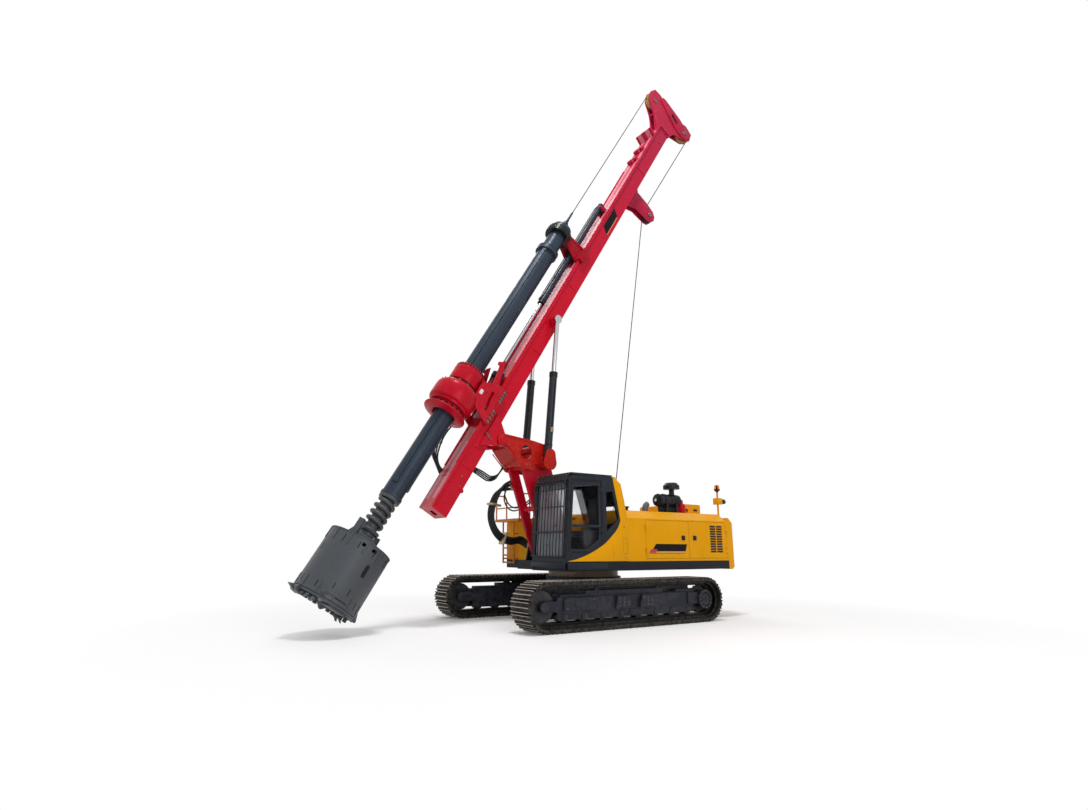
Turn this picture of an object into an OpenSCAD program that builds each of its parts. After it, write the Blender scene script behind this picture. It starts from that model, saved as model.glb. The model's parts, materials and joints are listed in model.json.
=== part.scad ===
// Rotary piling rig on crawler tracks: slewing upper works, luffing linkage, leaning mast,
// rotary head, kelly bar and drilling bucket.
// Millimetres. Origin on the ground under the slew axis, +X forward, +Y left, +Z up.

/* [Tracks] */
// Width of a track shoe
shoe_w = 600; // [450:10:800]
// Distance between the middles of the two tracks
track_gauge = 3090; // [2700:10:3600]
// Place of the front idler along the machine
idler_x = 2290; // [1800:10:2800]
// Place of the rear sprocket along the machine
sprocket_x = -1880; // [-2400:10:-1500]
// Radius out to the tips of the shoe ribs
track_tip_r = 455; // [400:5:520]
// Number of shoes round one track
shoe_count = 53; // [44:1:60]
// Thickness of a shoe plate
shoe_t = 28; // [18:1:40]
// Height of the ribs on a shoe
grouser_h = 30; // [15:1:45]
// Width of the chain under the shoes
chain_w = 190; // [140:5:240]
// Depth of the chain below the shoes
chain_h = 110; // [80:5:140]
// Width of a track frame beam
beam_w = 280; // [220:5:340]
// Number of lower rollers on one side
roller_count = 8; // [5:1:10]

/* [Platform] */
// Half width of the upper works
deck_half_w = 1500; // [1300:10:1700]
// Rear end of the deck
deck_rear_x = -3054; // [-3400:10:-2600]
// Underside of the deck
deck_z0 = 1062; // [1000:2:1200]
// Thickness of the deck frame
deck_t = 183; // [140:1:260]
// Outer radius of the slewing ring
ring_r = 760; // [600:10:900]
// Height of the slewing ring
ring_h = 150; // [100:5:200]
// Length of the counterweight behind the deck
weight_l = 506; // [350:2:900]

/* [Hood] */
// Front end of the hood
hood_front_x = 30; // [-200:5:200]
// Height of the hood sides above the deck
hood_side_h = 873; // [700:5:1100]
// Height of the hood top above the deck
hood_top_h = 1045; // [850:5:1300]
// Width of the sloped strip along the hood edge
hood_slope_w = 250; // [100:5:400]
// Thickness of hood walls and doors
hood_wall = 50; // [30:1:80]
// Split between the front door and the fixed front panel
door_front_x = -467; // [-700:1:-300]
// Split between the two side doors
door_split_x = -1768; // [-2000:1:-1500]

/* [Cab] */
// Length of the cab
cab_l = 1550; // [1400:10:1800]
// Height of the cab
cab_h = 1690; // [1500:10:1900]
// Gap between the cab and the brackets of the linkage
cab_clear = 60; // [30:5:150]
// Rear wall of the cab
cab_rear_x = 100; // [0:5:300]
// Thickness of cab walls and the cab door
cab_wall = 60; // [40:1:80]
// Number of upright bars in front of the cab
guard_bars = 11; // [7:1:15]

/* [Luffing linkage] */
// Foot pivot of the rear arm, along the machine
arm_x = 710; // [600:5:850]
// Foot pivot of the rear arm, height
arm_z = 1600; // [1500:5:1700]
// Forward reach of both links
link_dx = 560; // [400:5:700]
// Rise of both links
link_dz = 1730; // [1500:5:1900]
// Foot of the front legs ahead of the arm foot
leg_dx = 430; // [350:5:520]
// Foot of the front legs below the arm foot
leg_dz = 140; // [60:5:200]
// Radius of the linkage pins
pin_r = 55; // [40:1:70]

/* [Mast] */
// Lean of the mast, back from upright
mast_lean = 32; // [0:1:45]
// Mast pivot along the machine
pivot_x = 2300; // [2100:10:2500]
// Mast pivot height
pivot_z = 3700; // [3500:10:3900]
// Lower end of the mast below its pivot
mast_below = 2050; // [1600:10:2400]
// Upper end of the mast above its pivot
mast_above = 10780; // [9000:20:12000]
// Width of the mast box
mast_w = 500; // [420:5:600]
// Depth of the mast box with its guide rail plate
mast_d = 400; // [340:5:480]
// Gap between the pivot and the rear of the mast
mast_back = 200; // [160:5:260]
// Wall of the mast box
mast_wall = 20; // [12:1:30]
// Drill axis ahead of the mast pivot
kelly_t = 1289; // [1150:1:1450]

/* [Drill string] */
// Radius of the kelly bar
kelly_r = 205; // [170:1:230]
// Upper end of the kelly tube above the mast pivot
kelly_above = 5250; // [4500:10:6000]
// Lower end of the kelly tube below the mast pivot
kelly_below = 2310; // [1900:10:2600]
// Outer radius of the drilling bucket
bucket_r = 605; // [400:5:700]
// Height of the bucket wall
bucket_h = 1150; // [900:10:1400]
// Top of the bucket wall below the mast pivot
bucket_top = 3330; // [3200:10:3600]
// Radius of the gearbox of the rotary head
gearbox_r = 475; // [420:5:540]
// Radius of the upper housing of the rotary head
housing_r = 325; // [290:5:380]
// Radius of the hoist rope
rope_r = 11; // [8:1:16]

/* [Hidden] */
$fn = 48;
// Overrun of every cut
over = 20;
// Running gap round a pin
fit = 0.05;
// Gap between pieces that move past each other
gap = 10;
// Gap round doors
door_gap = 6;
// Gap where a piece slides, seats or turns on another
seat_gap = 0.3;
// Gap round a piston rod or a turning sleeve
rod_gap = 0.5;

// Track values worked out from the driving sizes
track_y = track_gauge / 2;
axle_z = track_tip_r;
base_r = track_tip_r - grouser_h - shoe_t;
belt_t = 20;
shoe_gap = 12;
rib_w = 34;
loop_l = idler_x - sprocket_x;
shoe_pitch = (2 * loop_l + 2 * PI * base_r) / shoe_count;
shoe_len = shoe_pitch - shoe_gap;
chain_r = base_r - chain_h;
wheel_gap = 3;
wheel_r = chain_r - wheel_gap;
roller_r = 90;
roller_z = axle_z - chain_r + roller_r;
carrier_r = 60;
carrier_z = axle_z + chain_r - carrier_r;
beam_z0 = roller_z + roller_r + gap;
beam_z1 = carrier_z - carrier_r - gap;
cheek_t = 35;
cheek_r = 95;
beam_in_y = track_y - beam_w / 2;
wheel_w = beam_w - 2 * cheek_t;
cross_x = 520;
cross_w = 360;
cross_z1 = 700;
carbody_r = 820;
eye_r = 35;
eye_t = 50;
eye_out = 90;
eye_z = 520;

// Upper works
deck_z = deck_z0 + deck_t;
race_gap = 0.5;
ring_z0 = deck_z0 - ring_h - race_gap;
race_r = 640;
race_w = 80;
cab_front_x = cab_rear_x + cab_l;
box_front_x = 1050;
box_rear_x = -300;
box_h = 905;
box_slope = 90;
deck_front_x = 1400;
bracket_in_y = 300;
bracket_t = 40;
bracket_r = 120;
cab_y0 = bracket_in_y + bracket_t + cab_clear;
cab_w = deck_half_w - cab_y0;
box_clear = 180;
box_w = deck_half_w - bracket_in_y - bracket_t - box_clear;
bay_rear_x = -1120;
bay_left_y = 550;
bay_right_y = -560;
hood_top_half_w = deck_half_w - hood_slope_w;
door_z0 = deck_z + hood_wall;
door_z1 = deck_z + hood_side_h - hood_wall / 2;
tail_r = weight_l - deck_rear_x;
weight_z0 = deck_z0 - gap;
weight_h = 1150;
weight_slope = 110;

// Winch
drum_x = -600;
drum_z = 1950;
drum_r = 260;
drum_flange_r = 340;
drum_half_w = 250;
drum_flange_t = 30;
winch_cheek_t = 30;
shaft_r = 60;

// Linkage points
arm_top_x = arm_x + link_dx;
arm_top_z = arm_z + link_dz;
leg_x = arm_x + leg_dx;
leg_z = arm_z - leg_dz;
leg_top_x = leg_x + link_dx;
leg_top_z = leg_z + link_dz;
plate_in_y = 300;
plate_t = 40;
plate_out_y = plate_in_y + plate_t;
inner_y = plate_in_y - gap;
leg_t = 75;
leg_r = 110;
arm_rail_t = 90;
arm_r = 165;
mast_pin_r = 70;
lug_r = 135;

// Luff cylinder
luff_base_x = 50;
luff_base_z = 1420;
luff_share = 0.62;
luff_set_back = 40;
luff_top_x = arm_x + link_dx * luff_share - luff_set_back;
luff_top_z = arm_z + link_dz * luff_share;

// Mast cylinders
cyl_base_x = 1250;
cyl_base_z = 3450;
cyl_y = 430;
cyl_r = 85;
cyl_rod_r = 52;
cyl_pin_r = 45;
cyl_eye_r = 95;
cyl_eye_w = 90;
cyl_barrel_l = 1860;
cyl_eye_t = 360;
cyl_eye_s = 3160;
cheek_out_y = 525;
cheek_out_t = 30;

// Mast values
rail_t = 40;
rail_over = 30;
mast_front = mast_back + mast_d;
rail_half_w = mast_w / 2 + rail_over;
crowd_t = 750;
crowd_r = 75;
crowd_rod_r = 45;
crowd_low = 3505;
crowd_high = 7140;
sheave_r = 250;
sheave_w = 70;
sheave_pin_r = 45;
guide_r = 160;
guide_t = -550;
guide_down = 2580;
guide_s = mast_above - guide_down;
front_sheave_up = 820;
front_sheave_s = mast_above + front_sheave_up;
rear_sheave_t = -230;
rear_sheave_up = 860;
rear_sheave_s = mast_above + rear_sheave_up;

// Head and drill string values
head_low = -280;
head_high = 1120;
gear_low = -40;
gear_high = 420;
sleeve_r = 255;
sleeve_bore_r = 240;
rib_h = 25;
rib_half_w = 35;
side_in_y = rail_half_w + gap;
side_t = 40;
ring_in_r = 186;
ring_out_r = 300;
ring_neck = 50;
ring_t = 160;
ring_low = kelly_above + ring_neck;
ring_top = ring_low + ring_t;
bucket_wall = 30;
bucket_low = bucket_top + bucket_h;
floor_t = 50;
tooth_h = 70;

// Draws an upright outline as a slab between two sideways places
module slab(y0, y1) {
    rotate([90, 0, 0]) translate([0, 0, -y1]) linear_extrude(y1 - y0) children();
}

// Repeats a piece on both sides of the machine
module both_sides() {
    for (side = [0, 1]) mirror([0, side, 0]) children();
}

// A round bar across the machine
module cross_bar(r, y0, y1, x, z) {
    translate([x, y0, z]) rotate([-90, 0, 0]) cylinder(r = r, h = y1 - y0);
}

// Outline of a tapered link with round ends
module link_outline(a, b, ra, rb) {
    along = [b[0] - a[0], b[1] - a[1]];
    unit = along / norm(along);
    side = [-unit[1], unit[0]];
    translate(a) circle(ra);
    translate(b) circle(rb);
    polygon([a + side * ra, b + side * rb, b - side * rb, a - side * ra]);
}

// Turns shares of a length and a height into outline points
function sized(shares, l, h) = [for (q = shares) [q[0] * l, q[1] * h]];

// Puts children in the mast's own frame: X ahead of the pivot, Z up the mast
module on_mast() {
    translate([pivot_x, 0, pivot_z]) rotate([0, -mast_lean, 0]) children();
}

// Turns children to run from one upright-plane point to another
module along(a, b) {
    translate([a[0], 0, a[1]]) rotate([0, atan2(b[0] - a[0], b[1] - a[1]), 0]) children();
}

function reach(a, b) = norm([b[0] - a[0], b[1] - a[1]]);

// A point of the mast frame in the machine frame
function mast_point(t, s) = [
    pivot_x + t * cos(mast_lean) - s * sin(mast_lean),
    pivot_z + t * sin(mast_lean) + s * cos(mast_lean)
];

// Crawler tracks

// A point of the shoe whose middle is a distance along the shoe line, given along and out of that line
function shoe_point(s, q) =
    s < loop_l ? [sprocket_x + s + q[0], axle_z - base_r - q[1]]
    : s < loop_l + PI * base_r ? arc_point(idler_x, (s - loop_l) / base_r * 180 / PI, q)
    : s < 2 * loop_l + PI * base_r ? [idler_x - (s - loop_l - PI * base_r) - q[0], axle_z + base_r + q[1]]
    : arc_point(sprocket_x, 180 + (s - 2 * loop_l - PI * base_r) / base_r * 180 / PI, q);

function arc_point(x, a, q) =
    let (r = base_r + q[1], b = a + atan2(q[0], r)) [x + r * sin(b), axle_z - r * cos(b)];

// Cross section of a shoe with three ribs, along and out of the shoe line
shoe_outline = [
    [-shoe_len / 2, 0],
    [-shoe_len / 2, shoe_t + grouser_h],
    [-shoe_len / 2 + rib_w, shoe_t],
    [-rib_w, shoe_t],
    [0, shoe_t + grouser_h],
    [rib_w, shoe_t],
    [shoe_len / 2 - rib_w, shoe_t],
    [shoe_len / 2, shoe_t + grouser_h],
    [shoe_len / 2, 0]
];

module stadium(r) {
    for (x = [idler_x, sprocket_x]) translate([x, axle_z]) circle(r);
    translate([sprocket_x, axle_z - r]) square([loop_l, 2 * r]);
}

module track() {
    slab(track_y - shoe_w / 2, track_y + shoe_w / 2) difference() {
        polygon([
            for (i = [0 : shoe_count - 1])
                for (q = shoe_outline) shoe_point((i + 0.5) * shoe_pitch, q)
        ]);
        stadium(base_r - belt_t);
    }
    slab(track_y - chain_w / 2, track_y + chain_w / 2) difference() {
        stadium(base_r - belt_t / 2);
        stadium(chain_r);
    }
}

module track_left() {
    color([0.42, 0.39, 0.35]) track();
}

module track_right() {
    color([0.42, 0.39, 0.35]) mirror([0, 1, 0]) track();
}

cover_r = 190;
cover_t = 55;
pack_l = 420;
pack_t = 60;
pack_places = [-pack_l - gap, pack_l / 2];
pack_shares = [[0, 0], [1, 0], [0.86, 1], [0.14, 1]];
guard_t = 20;

// Beam with cheeks that carry the wheels and guards beside the rollers
module track_frame() {
    beam_l = loop_l - 2 * wheel_r - 2 * gap;
    beam_x0 = sprocket_x + wheel_r + gap;
    translate([beam_x0, beam_in_y, beam_z0]) cube([beam_l, beam_w, beam_z1 - beam_z0]);
    for (y = [beam_in_y, beam_in_y + beam_w - cheek_t])
        slab(y, y + cheek_t)
            link_outline([sprocket_x, axle_z], [idler_x, axle_z], cheek_r, cheek_r);
    for (y = [beam_in_y, beam_in_y + beam_w - guard_t])
        translate([beam_x0, y, roller_z - roller_r / 2])
            cube([beam_l, guard_t, beam_z0 - roller_z + roller_r / 2 + gap]);
    cross_bar(cover_r, beam_in_y + beam_w - cheek_t, beam_in_y + beam_w + cover_t, sprocket_x, axle_z);
    for (x = pack_places)
        slab(beam_in_y + beam_w - gap, beam_in_y + beam_w + pack_t)
            translate([x, beam_z0 + gap]) polygon(sized(pack_shares, pack_l, beam_z1 - beam_z0 - 2 * gap));
}

module track_frame_left() {
    color([0.18, 0.2, 0.25]) track_frame();
}

module track_frame_right() {
    color([0.18, 0.2, 0.25]) mirror([0, 1, 0]) track_frame();
}

sprocket_teeth = 21;
tooth_w = 50;
hub_r = 150;

module sprockets() {
    color([0.25, 0.24, 0.23]) both_sides() {
        cross_bar(wheel_r - tooth_w / 2, track_y - tooth_w / 2, track_y + tooth_w / 2, sprocket_x, axle_z);
        slab(track_y - tooth_w / 2, track_y + tooth_w / 2) for (i = [0 : sprocket_teeth - 1])
            translate([sprocket_x, axle_z]) rotate(i * 360 / sprocket_teeth)
                translate([wheel_r - tooth_w, -tooth_w / 4]) square([tooth_w, tooth_w / 2]);
        cross_bar(hub_r, track_y - wheel_w / 2, track_y + wheel_w / 2, sprocket_x, axle_z);
    }
}

module idlers() {
    color([0.25, 0.24, 0.23]) both_sides() {
        cross_bar(wheel_r, track_y - tooth_w, track_y + tooth_w, idler_x, axle_z);
        cross_bar(hub_r / 2, track_y - wheel_w / 2, track_y + wheel_w / 2, idler_x, axle_z);
    }
}

module rollers() {
    first = sprocket_x + wheel_r + 2 * roller_r;
    last = idler_x - wheel_r - 2 * roller_r;
    color([0.25, 0.24, 0.23]) both_sides() {
        for (i = [0 : roller_count - 1]) {
            x = first + (last - first) * i / (roller_count - 1);
            cross_bar(roller_r, track_y - chain_w / 2, track_y + chain_w / 2, x, roller_z);
            cross_bar(roller_r / 3, beam_in_y + guard_t, beam_in_y + beam_w - guard_t, x, roller_z);
        }
        for (x = [first + (last - first) / 4, last - (last - first) / 4]) {
            cross_bar(carrier_r, track_y - chain_w / 2, track_y + chain_w / 2, x, carrier_z);
            translate([x - carrier_r / 2, beam_in_y, beam_z1])
                cube([carrier_r, beam_w / 2 - chain_w / 2, carrier_z - beam_z1]);
            cross_bar(carrier_r / 2, beam_in_y, track_y, x, carrier_z);
        }
    }
}

module carbody() {
    color([0.18, 0.2, 0.25]) difference() {
        union() {
            for (x = [-cross_x, cross_x])
                translate([x - cross_w / 2, -beam_in_y, beam_z0])
                    cube([cross_w, 2 * beam_in_y, cross_z1 - beam_z0]);
            translate([0, 0, beam_z0]) cylinder(r = carbody_r, h = ring_z0 - beam_z0);
            translate([0, 0, eye_z - eye_t / 2]) linear_extrude(eye_t)
                link_outline([-carbody_r - eye_out, 0], [carbody_r + eye_out, 0], 2 * eye_r, 2 * eye_r);
        }
        for (x = [-carbody_r - eye_out, carbody_r + eye_out])
            translate([x, 0, eye_z - eye_t]) cylinder(r = eye_r, h = 2 * eye_t);
    }
}

module slew_ring() {
    color([0.45, 0.34, 0.22]) rotate_extrude($fn = 96)
        translate([race_r + race_gap, ring_z0]) square([ring_r - race_r - race_gap, ring_h]);
}

// Upper works

deck_outline = [
    [deck_rear_x, -deck_half_w],
    [box_front_x, -deck_half_w],
    [box_front_x, box_w - deck_half_w],
    [deck_front_x, box_w - deck_half_w],
    [deck_front_x, cab_y0],
    [cab_front_x, cab_y0],
    [cab_front_x, deck_half_w],
    [deck_rear_x, deck_half_w]
];

// Outline of a bracket with a flat foot in the deck and a round head
module bracket_outline(x, z, r, half_foot) {
    translate([x, z]) circle(r);
    polygon([[x - half_foot, deck_z - over], [x + half_foot, deck_z - over], [x + r, z], [x - r, z]]);
}

// Deck with the race under it and the brackets of the linkage on it
module platform() {
    color([0.13, 0.14, 0.16]) {
        translate([0, 0, deck_z0]) linear_extrude(deck_t) polygon(deck_outline);
        translate([0, 0, ring_z0 + race_gap]) difference() {
            cylinder(r = race_r, h = deck_z0 - ring_z0, $fn = 96);
            translate([0, 0, -over])
                cylinder(r = race_r - race_w, h = deck_z0 - ring_z0 - race_gap + over, $fn = 96);
        }
        both_sides() slab(bracket_in_y, bracket_in_y + bracket_t) {
            bracket_outline(arm_x, arm_z, bracket_r, bracket_r * 2);
            bracket_outline(leg_x, leg_z, bracket_r, bracket_r * 1.5);
        }
        cross_bar(pin_r, -bracket_in_y - bracket_t / 2, bracket_in_y + bracket_t / 2, arm_x, arm_z);
        cross_bar(pin_r, -bracket_in_y - bracket_t / 2, bracket_in_y + bracket_t / 2, leg_x, leg_z);
        both_sides() slab(luff_r + gap, luff_r + gap + bracket_t)
            bracket_outline(luff_base_x, luff_base_z, luff_eye_r, bracket_r);
        cross_bar(pin_r, -luff_r - gap - over, luff_r + gap + over, luff_base_x, luff_base_z);
    }
}

luff_eye_w = 110;
luff_eye_r = 95;
luff_r = 90;

// Tail weight swept to a round rear
module counterweight() {
    color([0.93, 0.62, 0.05]) translate([0, 0, weight_z0]) intersection() {
        rotate_extrude($fn = 160) polygon([
            [0, 0], [tail_r - weight_slope / 2, 0], [tail_r, weight_slope / 2],
            [tail_r, weight_h - weight_slope], [tail_r - weight_slope, weight_h], [0, weight_h]
        ]);
        translate([-tail_r - over, -deck_half_w, -over])
            cube([weight_l + over, 2 * deck_half_w, weight_h + 2 * over]);
    }
}

// Cross section of the hood, from the deck up, shrunk by a wall
function hood_outline(wall) = [
    [-deck_half_w + wall, 0],
    [deck_half_w - wall, 0],
    [deck_half_w - wall, hood_side_h - wall / 2],
    [hood_top_half_w - wall / 2, hood_top_h - wall],
    [-hood_top_half_w + wall / 2, hood_top_h - wall],
    [-deck_half_w + wall, hood_side_h - wall / 2]
];

// Runs an outline of width and height along the machine
module run_along(x0, x1, z) {
    translate([x0, 0, z]) rotate([90, 0, 90]) linear_extrude(x1 - x0) children();
}

knuckle_r = 18;
knuckle_h = 70;
hinge_pin = 9;
hinge_off = 24;
leaf_w = 36;
leaf_t = 10;
ear_t = 14;
ear_gap = 5;

// Plan of a hinge leaf that runs from a face to the pin, on one side of the split
module leaf_outline(x, face, dir) {
    translate([x, face + hinge_off]) circle(knuckle_r);
    polygon([
        [x, face + hinge_off],
        [x + dir * door_gap, face - leaf_t],
        [x + dir * (door_gap + leaf_w), face - leaf_t],
        [x + dir * (door_gap + leaf_w), face + leaf_t],
        [x + dir * knuckle_r, face + hinge_off]
    ]);
}

// Ears and pins of a door's hinges on the fixed side
module hinge_seat(x, face, dir, heights) {
    for (z = heights) {
        for (z0 = [z - knuckle_h / 2 - ear_gap - ear_t, z + knuckle_h / 2 + ear_gap])
            translate([0, 0, z0]) linear_extrude(ear_t) leaf_outline(x, face, dir);
        translate([x, face + hinge_off, z - knuckle_h / 2 - ear_gap - ear_t / 2])
            cylinder(r = hinge_pin, h = knuckle_h + 2 * ear_gap + ear_t);
    }
}

// Knuckles of a door's hinges, bored for the pins
module hinge_knuckles(x, face, dir, heights) {
    for (z = heights) translate([0, 0, z - knuckle_h / 2]) linear_extrude(knuckle_h) difference() {
        leaf_outline(x, face, -dir);
        translate([x, face + hinge_off]) circle(hinge_pin + fit);
    }
}

hinge_shares = [0.2, 0.8];
door_hinges = [for (share = hinge_shares) door_z0 + (door_z1 - door_z0) * share];

module hood() {
    color([0.93, 0.62, 0.05]) {
        difference() {
            run_along(deck_rear_x, hood_front_x, deck_z) polygon(hood_outline(0));
            difference() {
                run_along(deck_rear_x + hood_wall, hood_front_x - hood_wall, deck_z - over)
                    polygon(hood_outline(hood_wall));
                translate([bay_rear_x - hood_wall, bay_right_y - hood_wall, deck_z - 2 * over])
                    cube([hood_front_x - bay_rear_x + 2 * hood_wall, bay_left_y - bay_right_y + 2 * hood_wall,
                        2 * hood_top_h]);
            }
            translate([bay_rear_x, bay_right_y, deck_z - over])
                cube([hood_front_x - bay_rear_x + over, bay_left_y - bay_right_y, 2 * hood_top_h]);
            translate([box_rear_x - gap, -deck_half_w - over, deck_z - over])
                cube([hood_front_x - box_rear_x + 2 * gap, box_w + over + gap, 2 * hood_top_h]);
            for (span = door_spans)
                translate([span[0], -deck_half_w - over, door_z0])
                    cube([span[1] - span[0], 2 * deck_half_w + 2 * over, door_z1 - door_z0]);
        }
        both_sides() {
            hinge_seat(door_front_x - door_gap / 2, deck_half_w, 1, door_hinges);
            hinge_seat(deck_rear_x + hood_wall + door_gap / 2, deck_half_w, -1, door_hinges);
        }
    }
}

door_spans = [
    [door_split_x + door_gap, door_front_x],
    [deck_rear_x + hood_wall, door_split_x - door_gap]
];
handle_w = 90;
handle_t = 12;
handle_share = 0.49;

// A hood door that fills its opening on the left
module hood_door(span, handle_x, hinge_x, dir) {
    hinge_knuckles(hinge_x, deck_half_w, dir, door_hinges);
    translate([span[0] + door_gap, deck_half_w - hood_wall, door_z0 + door_gap])
        cube([span[1] - span[0] - 2 * door_gap, hood_wall, door_z1 - door_z0 - 2 * door_gap]);
    translate([handle_x - handle_w / 2, deck_half_w - gap, door_z0 + (door_z1 - door_z0) * handle_share])
        cube([handle_w, handle_t + gap, handle_w]);
}

module front_door() {
    hood_door(door_spans[0], door_split_x + 2 * handle_w, door_front_x - door_gap / 2, 1);
}

louvre_rows = 11;
louvre_depth = 22;
louvre_shares = [0.12, 0.295];
louvre_l_share = 0.145;
louvre_low_share = 0.16;
louvre_h_share = 0.76;
slat_share = 0.66;

// Rear door with two columns of air slots
module rear_door() {
    l = door_spans[1][1] - door_spans[1][0];
    pitch = (door_z1 - door_z0) * louvre_h_share / louvre_rows;
    difference() {
        hood_door(door_spans[1], door_split_x - 2 * handle_w, deck_rear_x + hood_wall + door_gap / 2, -1);
        for (share = louvre_shares, i = [0 : louvre_rows - 1])
            translate([door_spans[1][0] + l * share, deck_half_w - louvre_depth,
                door_z0 + (door_z1 - door_z0) * louvre_low_share + i * pitch])
                cube([l * louvre_l_share, louvre_depth + over, pitch * slat_share]);
    }
}

module door_left_front() {
    color([0.93, 0.62, 0.05]) front_door();
}

module door_left_rear() {
    color([0.93, 0.62, 0.05]) rear_door();
}

module door_right_front() {
    color([0.93, 0.62, 0.05]) mirror([0, 1, 0]) front_door();
}

module door_right_rear() {
    color([0.93, 0.62, 0.05]) mirror([0, 1, 0]) rear_door();
}

engine_l = 1250;
engine_w = 900;
engine_h = 800;

module engine_block() {
    color([0.3, 0.3, 0.32]) translate([bay_rear_x - hood_wall - engine_l - 2 * over, -engine_w / 2, deck_z])
        cube([engine_l, engine_w, engine_h]);
}

cleaner_x = -1990;
cleaner_in = 500;
cleaner_y = deck_half_w - cleaner_in;
cleaner_r = 140;
cleaner_l = 600;
cleaner_up = 280;
strap_t = 50;
strap_shares = [0.2, 0.7];
cap_x = -1835;
cap_top = 690;
cap_r = 180;
cap_h = 150;
pipe_r = 60;

// Lying air filter drum on two feet, with the rain cap of its intake
module air_cleaner() {
    color([0.05, 0.05, 0.06]) translate([0, cleaner_y, deck_z + hood_top_h]) {
        translate([cleaner_x, 0, cleaner_up]) rotate([0, 90, 0]) cylinder(r = cleaner_r, h = cleaner_l);
        for (share = strap_shares) translate([cleaner_x + cleaner_l * share, 0, 0]) {
            translate([0, -cleaner_r, 0]) cube([strap_t, 2 * cleaner_r, cleaner_up - cleaner_r / 2]);
            translate([0, 0, cleaner_up]) rotate([0, 90, 0]) cylinder(r = cleaner_r + gap, h = strap_t);
        }
        translate([cap_x, 0, cleaner_up]) cylinder(r = pipe_r, h = cap_top - cap_h - cleaner_up + over);
        translate([cap_x, 0, cap_top - cap_h]) cylinder(r = cap_r, h = cap_h * 0.6);
        translate([cap_x, 0, cap_top - cap_h * 0.4]) cylinder(r1 = cap_r, r2 = cap_r * 0.7, h = cap_h * 0.4);
    }
}

exhaust_x = -1180;
exhaust_in = 700;
exhaust_y = deck_half_w - exhaust_in;
exhaust_r = 65;
exhaust_h = 90;
exhaust_bend_r = 110;

// Exhaust stub that bends to the rear
module exhaust() {
    color([0.4, 0.4, 0.42]) translate([exhaust_x, exhaust_y, deck_z + hood_top_h]) {
        cylinder(r = exhaust_r, h = exhaust_h + over);
        translate([-exhaust_bend_r, 0, exhaust_h]) rotate([90, 0, 0])
            rotate_extrude(angle = 70) translate([exhaust_bend_r, 0]) circle(exhaust_r);
    }
}

roof_box_l = 520;
roof_box_w = 1500;
roof_box_h = 240;

module roof_box() {
    color([0.93, 0.62, 0.05]) translate([deck_rear_x, -roof_box_w / 2, deck_z + hood_top_h])
        cube([roof_box_l, roof_box_w, roof_box_h]);
}

post_in = 250;
post_y = deck_half_w - post_in;
post_r = 22;
post_h = 640;
beacon_r = 70;
beacon_h = 110;
camera_w = 150;

// Post at the tail with a camera box and the warning lamp
module beacon_post() {
    color([0.95, 0.6, 0.05]) translate([deck_rear_x - post_r - 2 * gap, post_y, weight_z0 + weight_h]) {
        cylinder(r = post_r, h = post_h);
        translate([0, 0, post_h]) cylinder(r = beacon_r, h = beacon_h);
        translate([-camera_w / 2, -camera_w / 2, post_h / 2]) cube([camera_w, camera_w, camera_w]);
    }
}

// Tank box on the right, with its outer top edge sloped
module side_box() {
    color([0.93, 0.62, 0.05]) run_along(box_rear_x, box_front_x, deck_z) polygon([
        [-deck_half_w, 0],
        [box_w - deck_half_w, 0],
        [box_w - deck_half_w, box_h],
        [box_slope - deck_half_w, box_h],
        [-deck_half_w, box_h - box_slope]
    ]);
}

ladder_out = 110;
ladder_w = 450;
ladder_r = 20;
ladder_top = 560;
ladder_low = -85;
rung_count = 4;
walk_l = 320;
walk_t = 60;

// Step ladder ahead of the box and the walkway over it
module ladder() {
    x = box_front_x + ladder_out;
    y0 = ladder_r - deck_half_w;
    color([0.85, 0.45, 0.08]) {
        for (y = [y0, y0 + ladder_w]) {
            translate([x, y, deck_z + ladder_low]) cylinder(r = ladder_r, h = box_h - ladder_low);
            for (z = [0, ladder_top])
                translate([box_front_x, y, deck_z + ladder_r + z]) rotate([0, 90, 0])
                    cylinder(r = ladder_r * 0.8, h = ladder_out);
        }
        for (i = [0 : rung_count - 1])
            cross_bar(ladder_r * 0.8, y0, y0 + ladder_w, x,
                deck_z + ladder_low + ladder_r + i * (ladder_top - ladder_low) / rung_count);
        translate([box_front_x, -deck_half_w, deck_z + box_h - walk_t]) cube([walk_l, box_w, walk_t]);
    }
}

// Cab

door_rear_share = 0.4;

// Side view of the cab as shares of its length and height
cab_shares = [
    [1, 0], [0.925, 0.935], [0.87, 0.985], [0.22, 1], [0.15, 0.965], [0.005, 0.73], [0, 0]
];
door_shares = [
    [0.955, 0.1], [0.885, 0.915], [door_rear_share, 0.94], [door_rear_share, 0.215], [0.6, 0.1]
];
pane_shares = [
    [0.922, 0.14], [0.85, 0.85], [0.44, 0.89], [0.452, 0.25], [0.655, 0.135]
];
quarter_shares = [[0.318, 0.33], [0.32, 0.815], [0.2, 0.83], [0.105, 0.5]];
right_shares = [[0.9, 0.3], [0.85, 0.88], [0.25, 0.88], [0.12, 0.5], [0.2, 0.3]];
cab_lean_share = 0.075 / 0.935;
front_low_share = 0.06;
front_high_share = 0.9;
rear_low_share = 0.45;
rear_high_share = 0.66;
pillar = 90;
glass_t = 8;

// Draws a side outline of the cab given as shares
module cab_side(shares) {
    translate([cab_rear_x, deck_z]) polygon(sized(shares, cab_l, cab_h));
}

function cab_front_at(share) = cab_front_x - cab_l * cab_lean_share * share;

// Strip along the leaning front, between two depths behind it
module front_strip(depth0, depth1) {
    polygon([
        for (q = [[front_low_share, depth0], [front_low_share, depth1],
                  [front_high_share, depth1], [front_high_share, depth0]])
            [cab_front_at(q[0]) - q[1], deck_z + q[0] * cab_h]
    ]);
}

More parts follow.
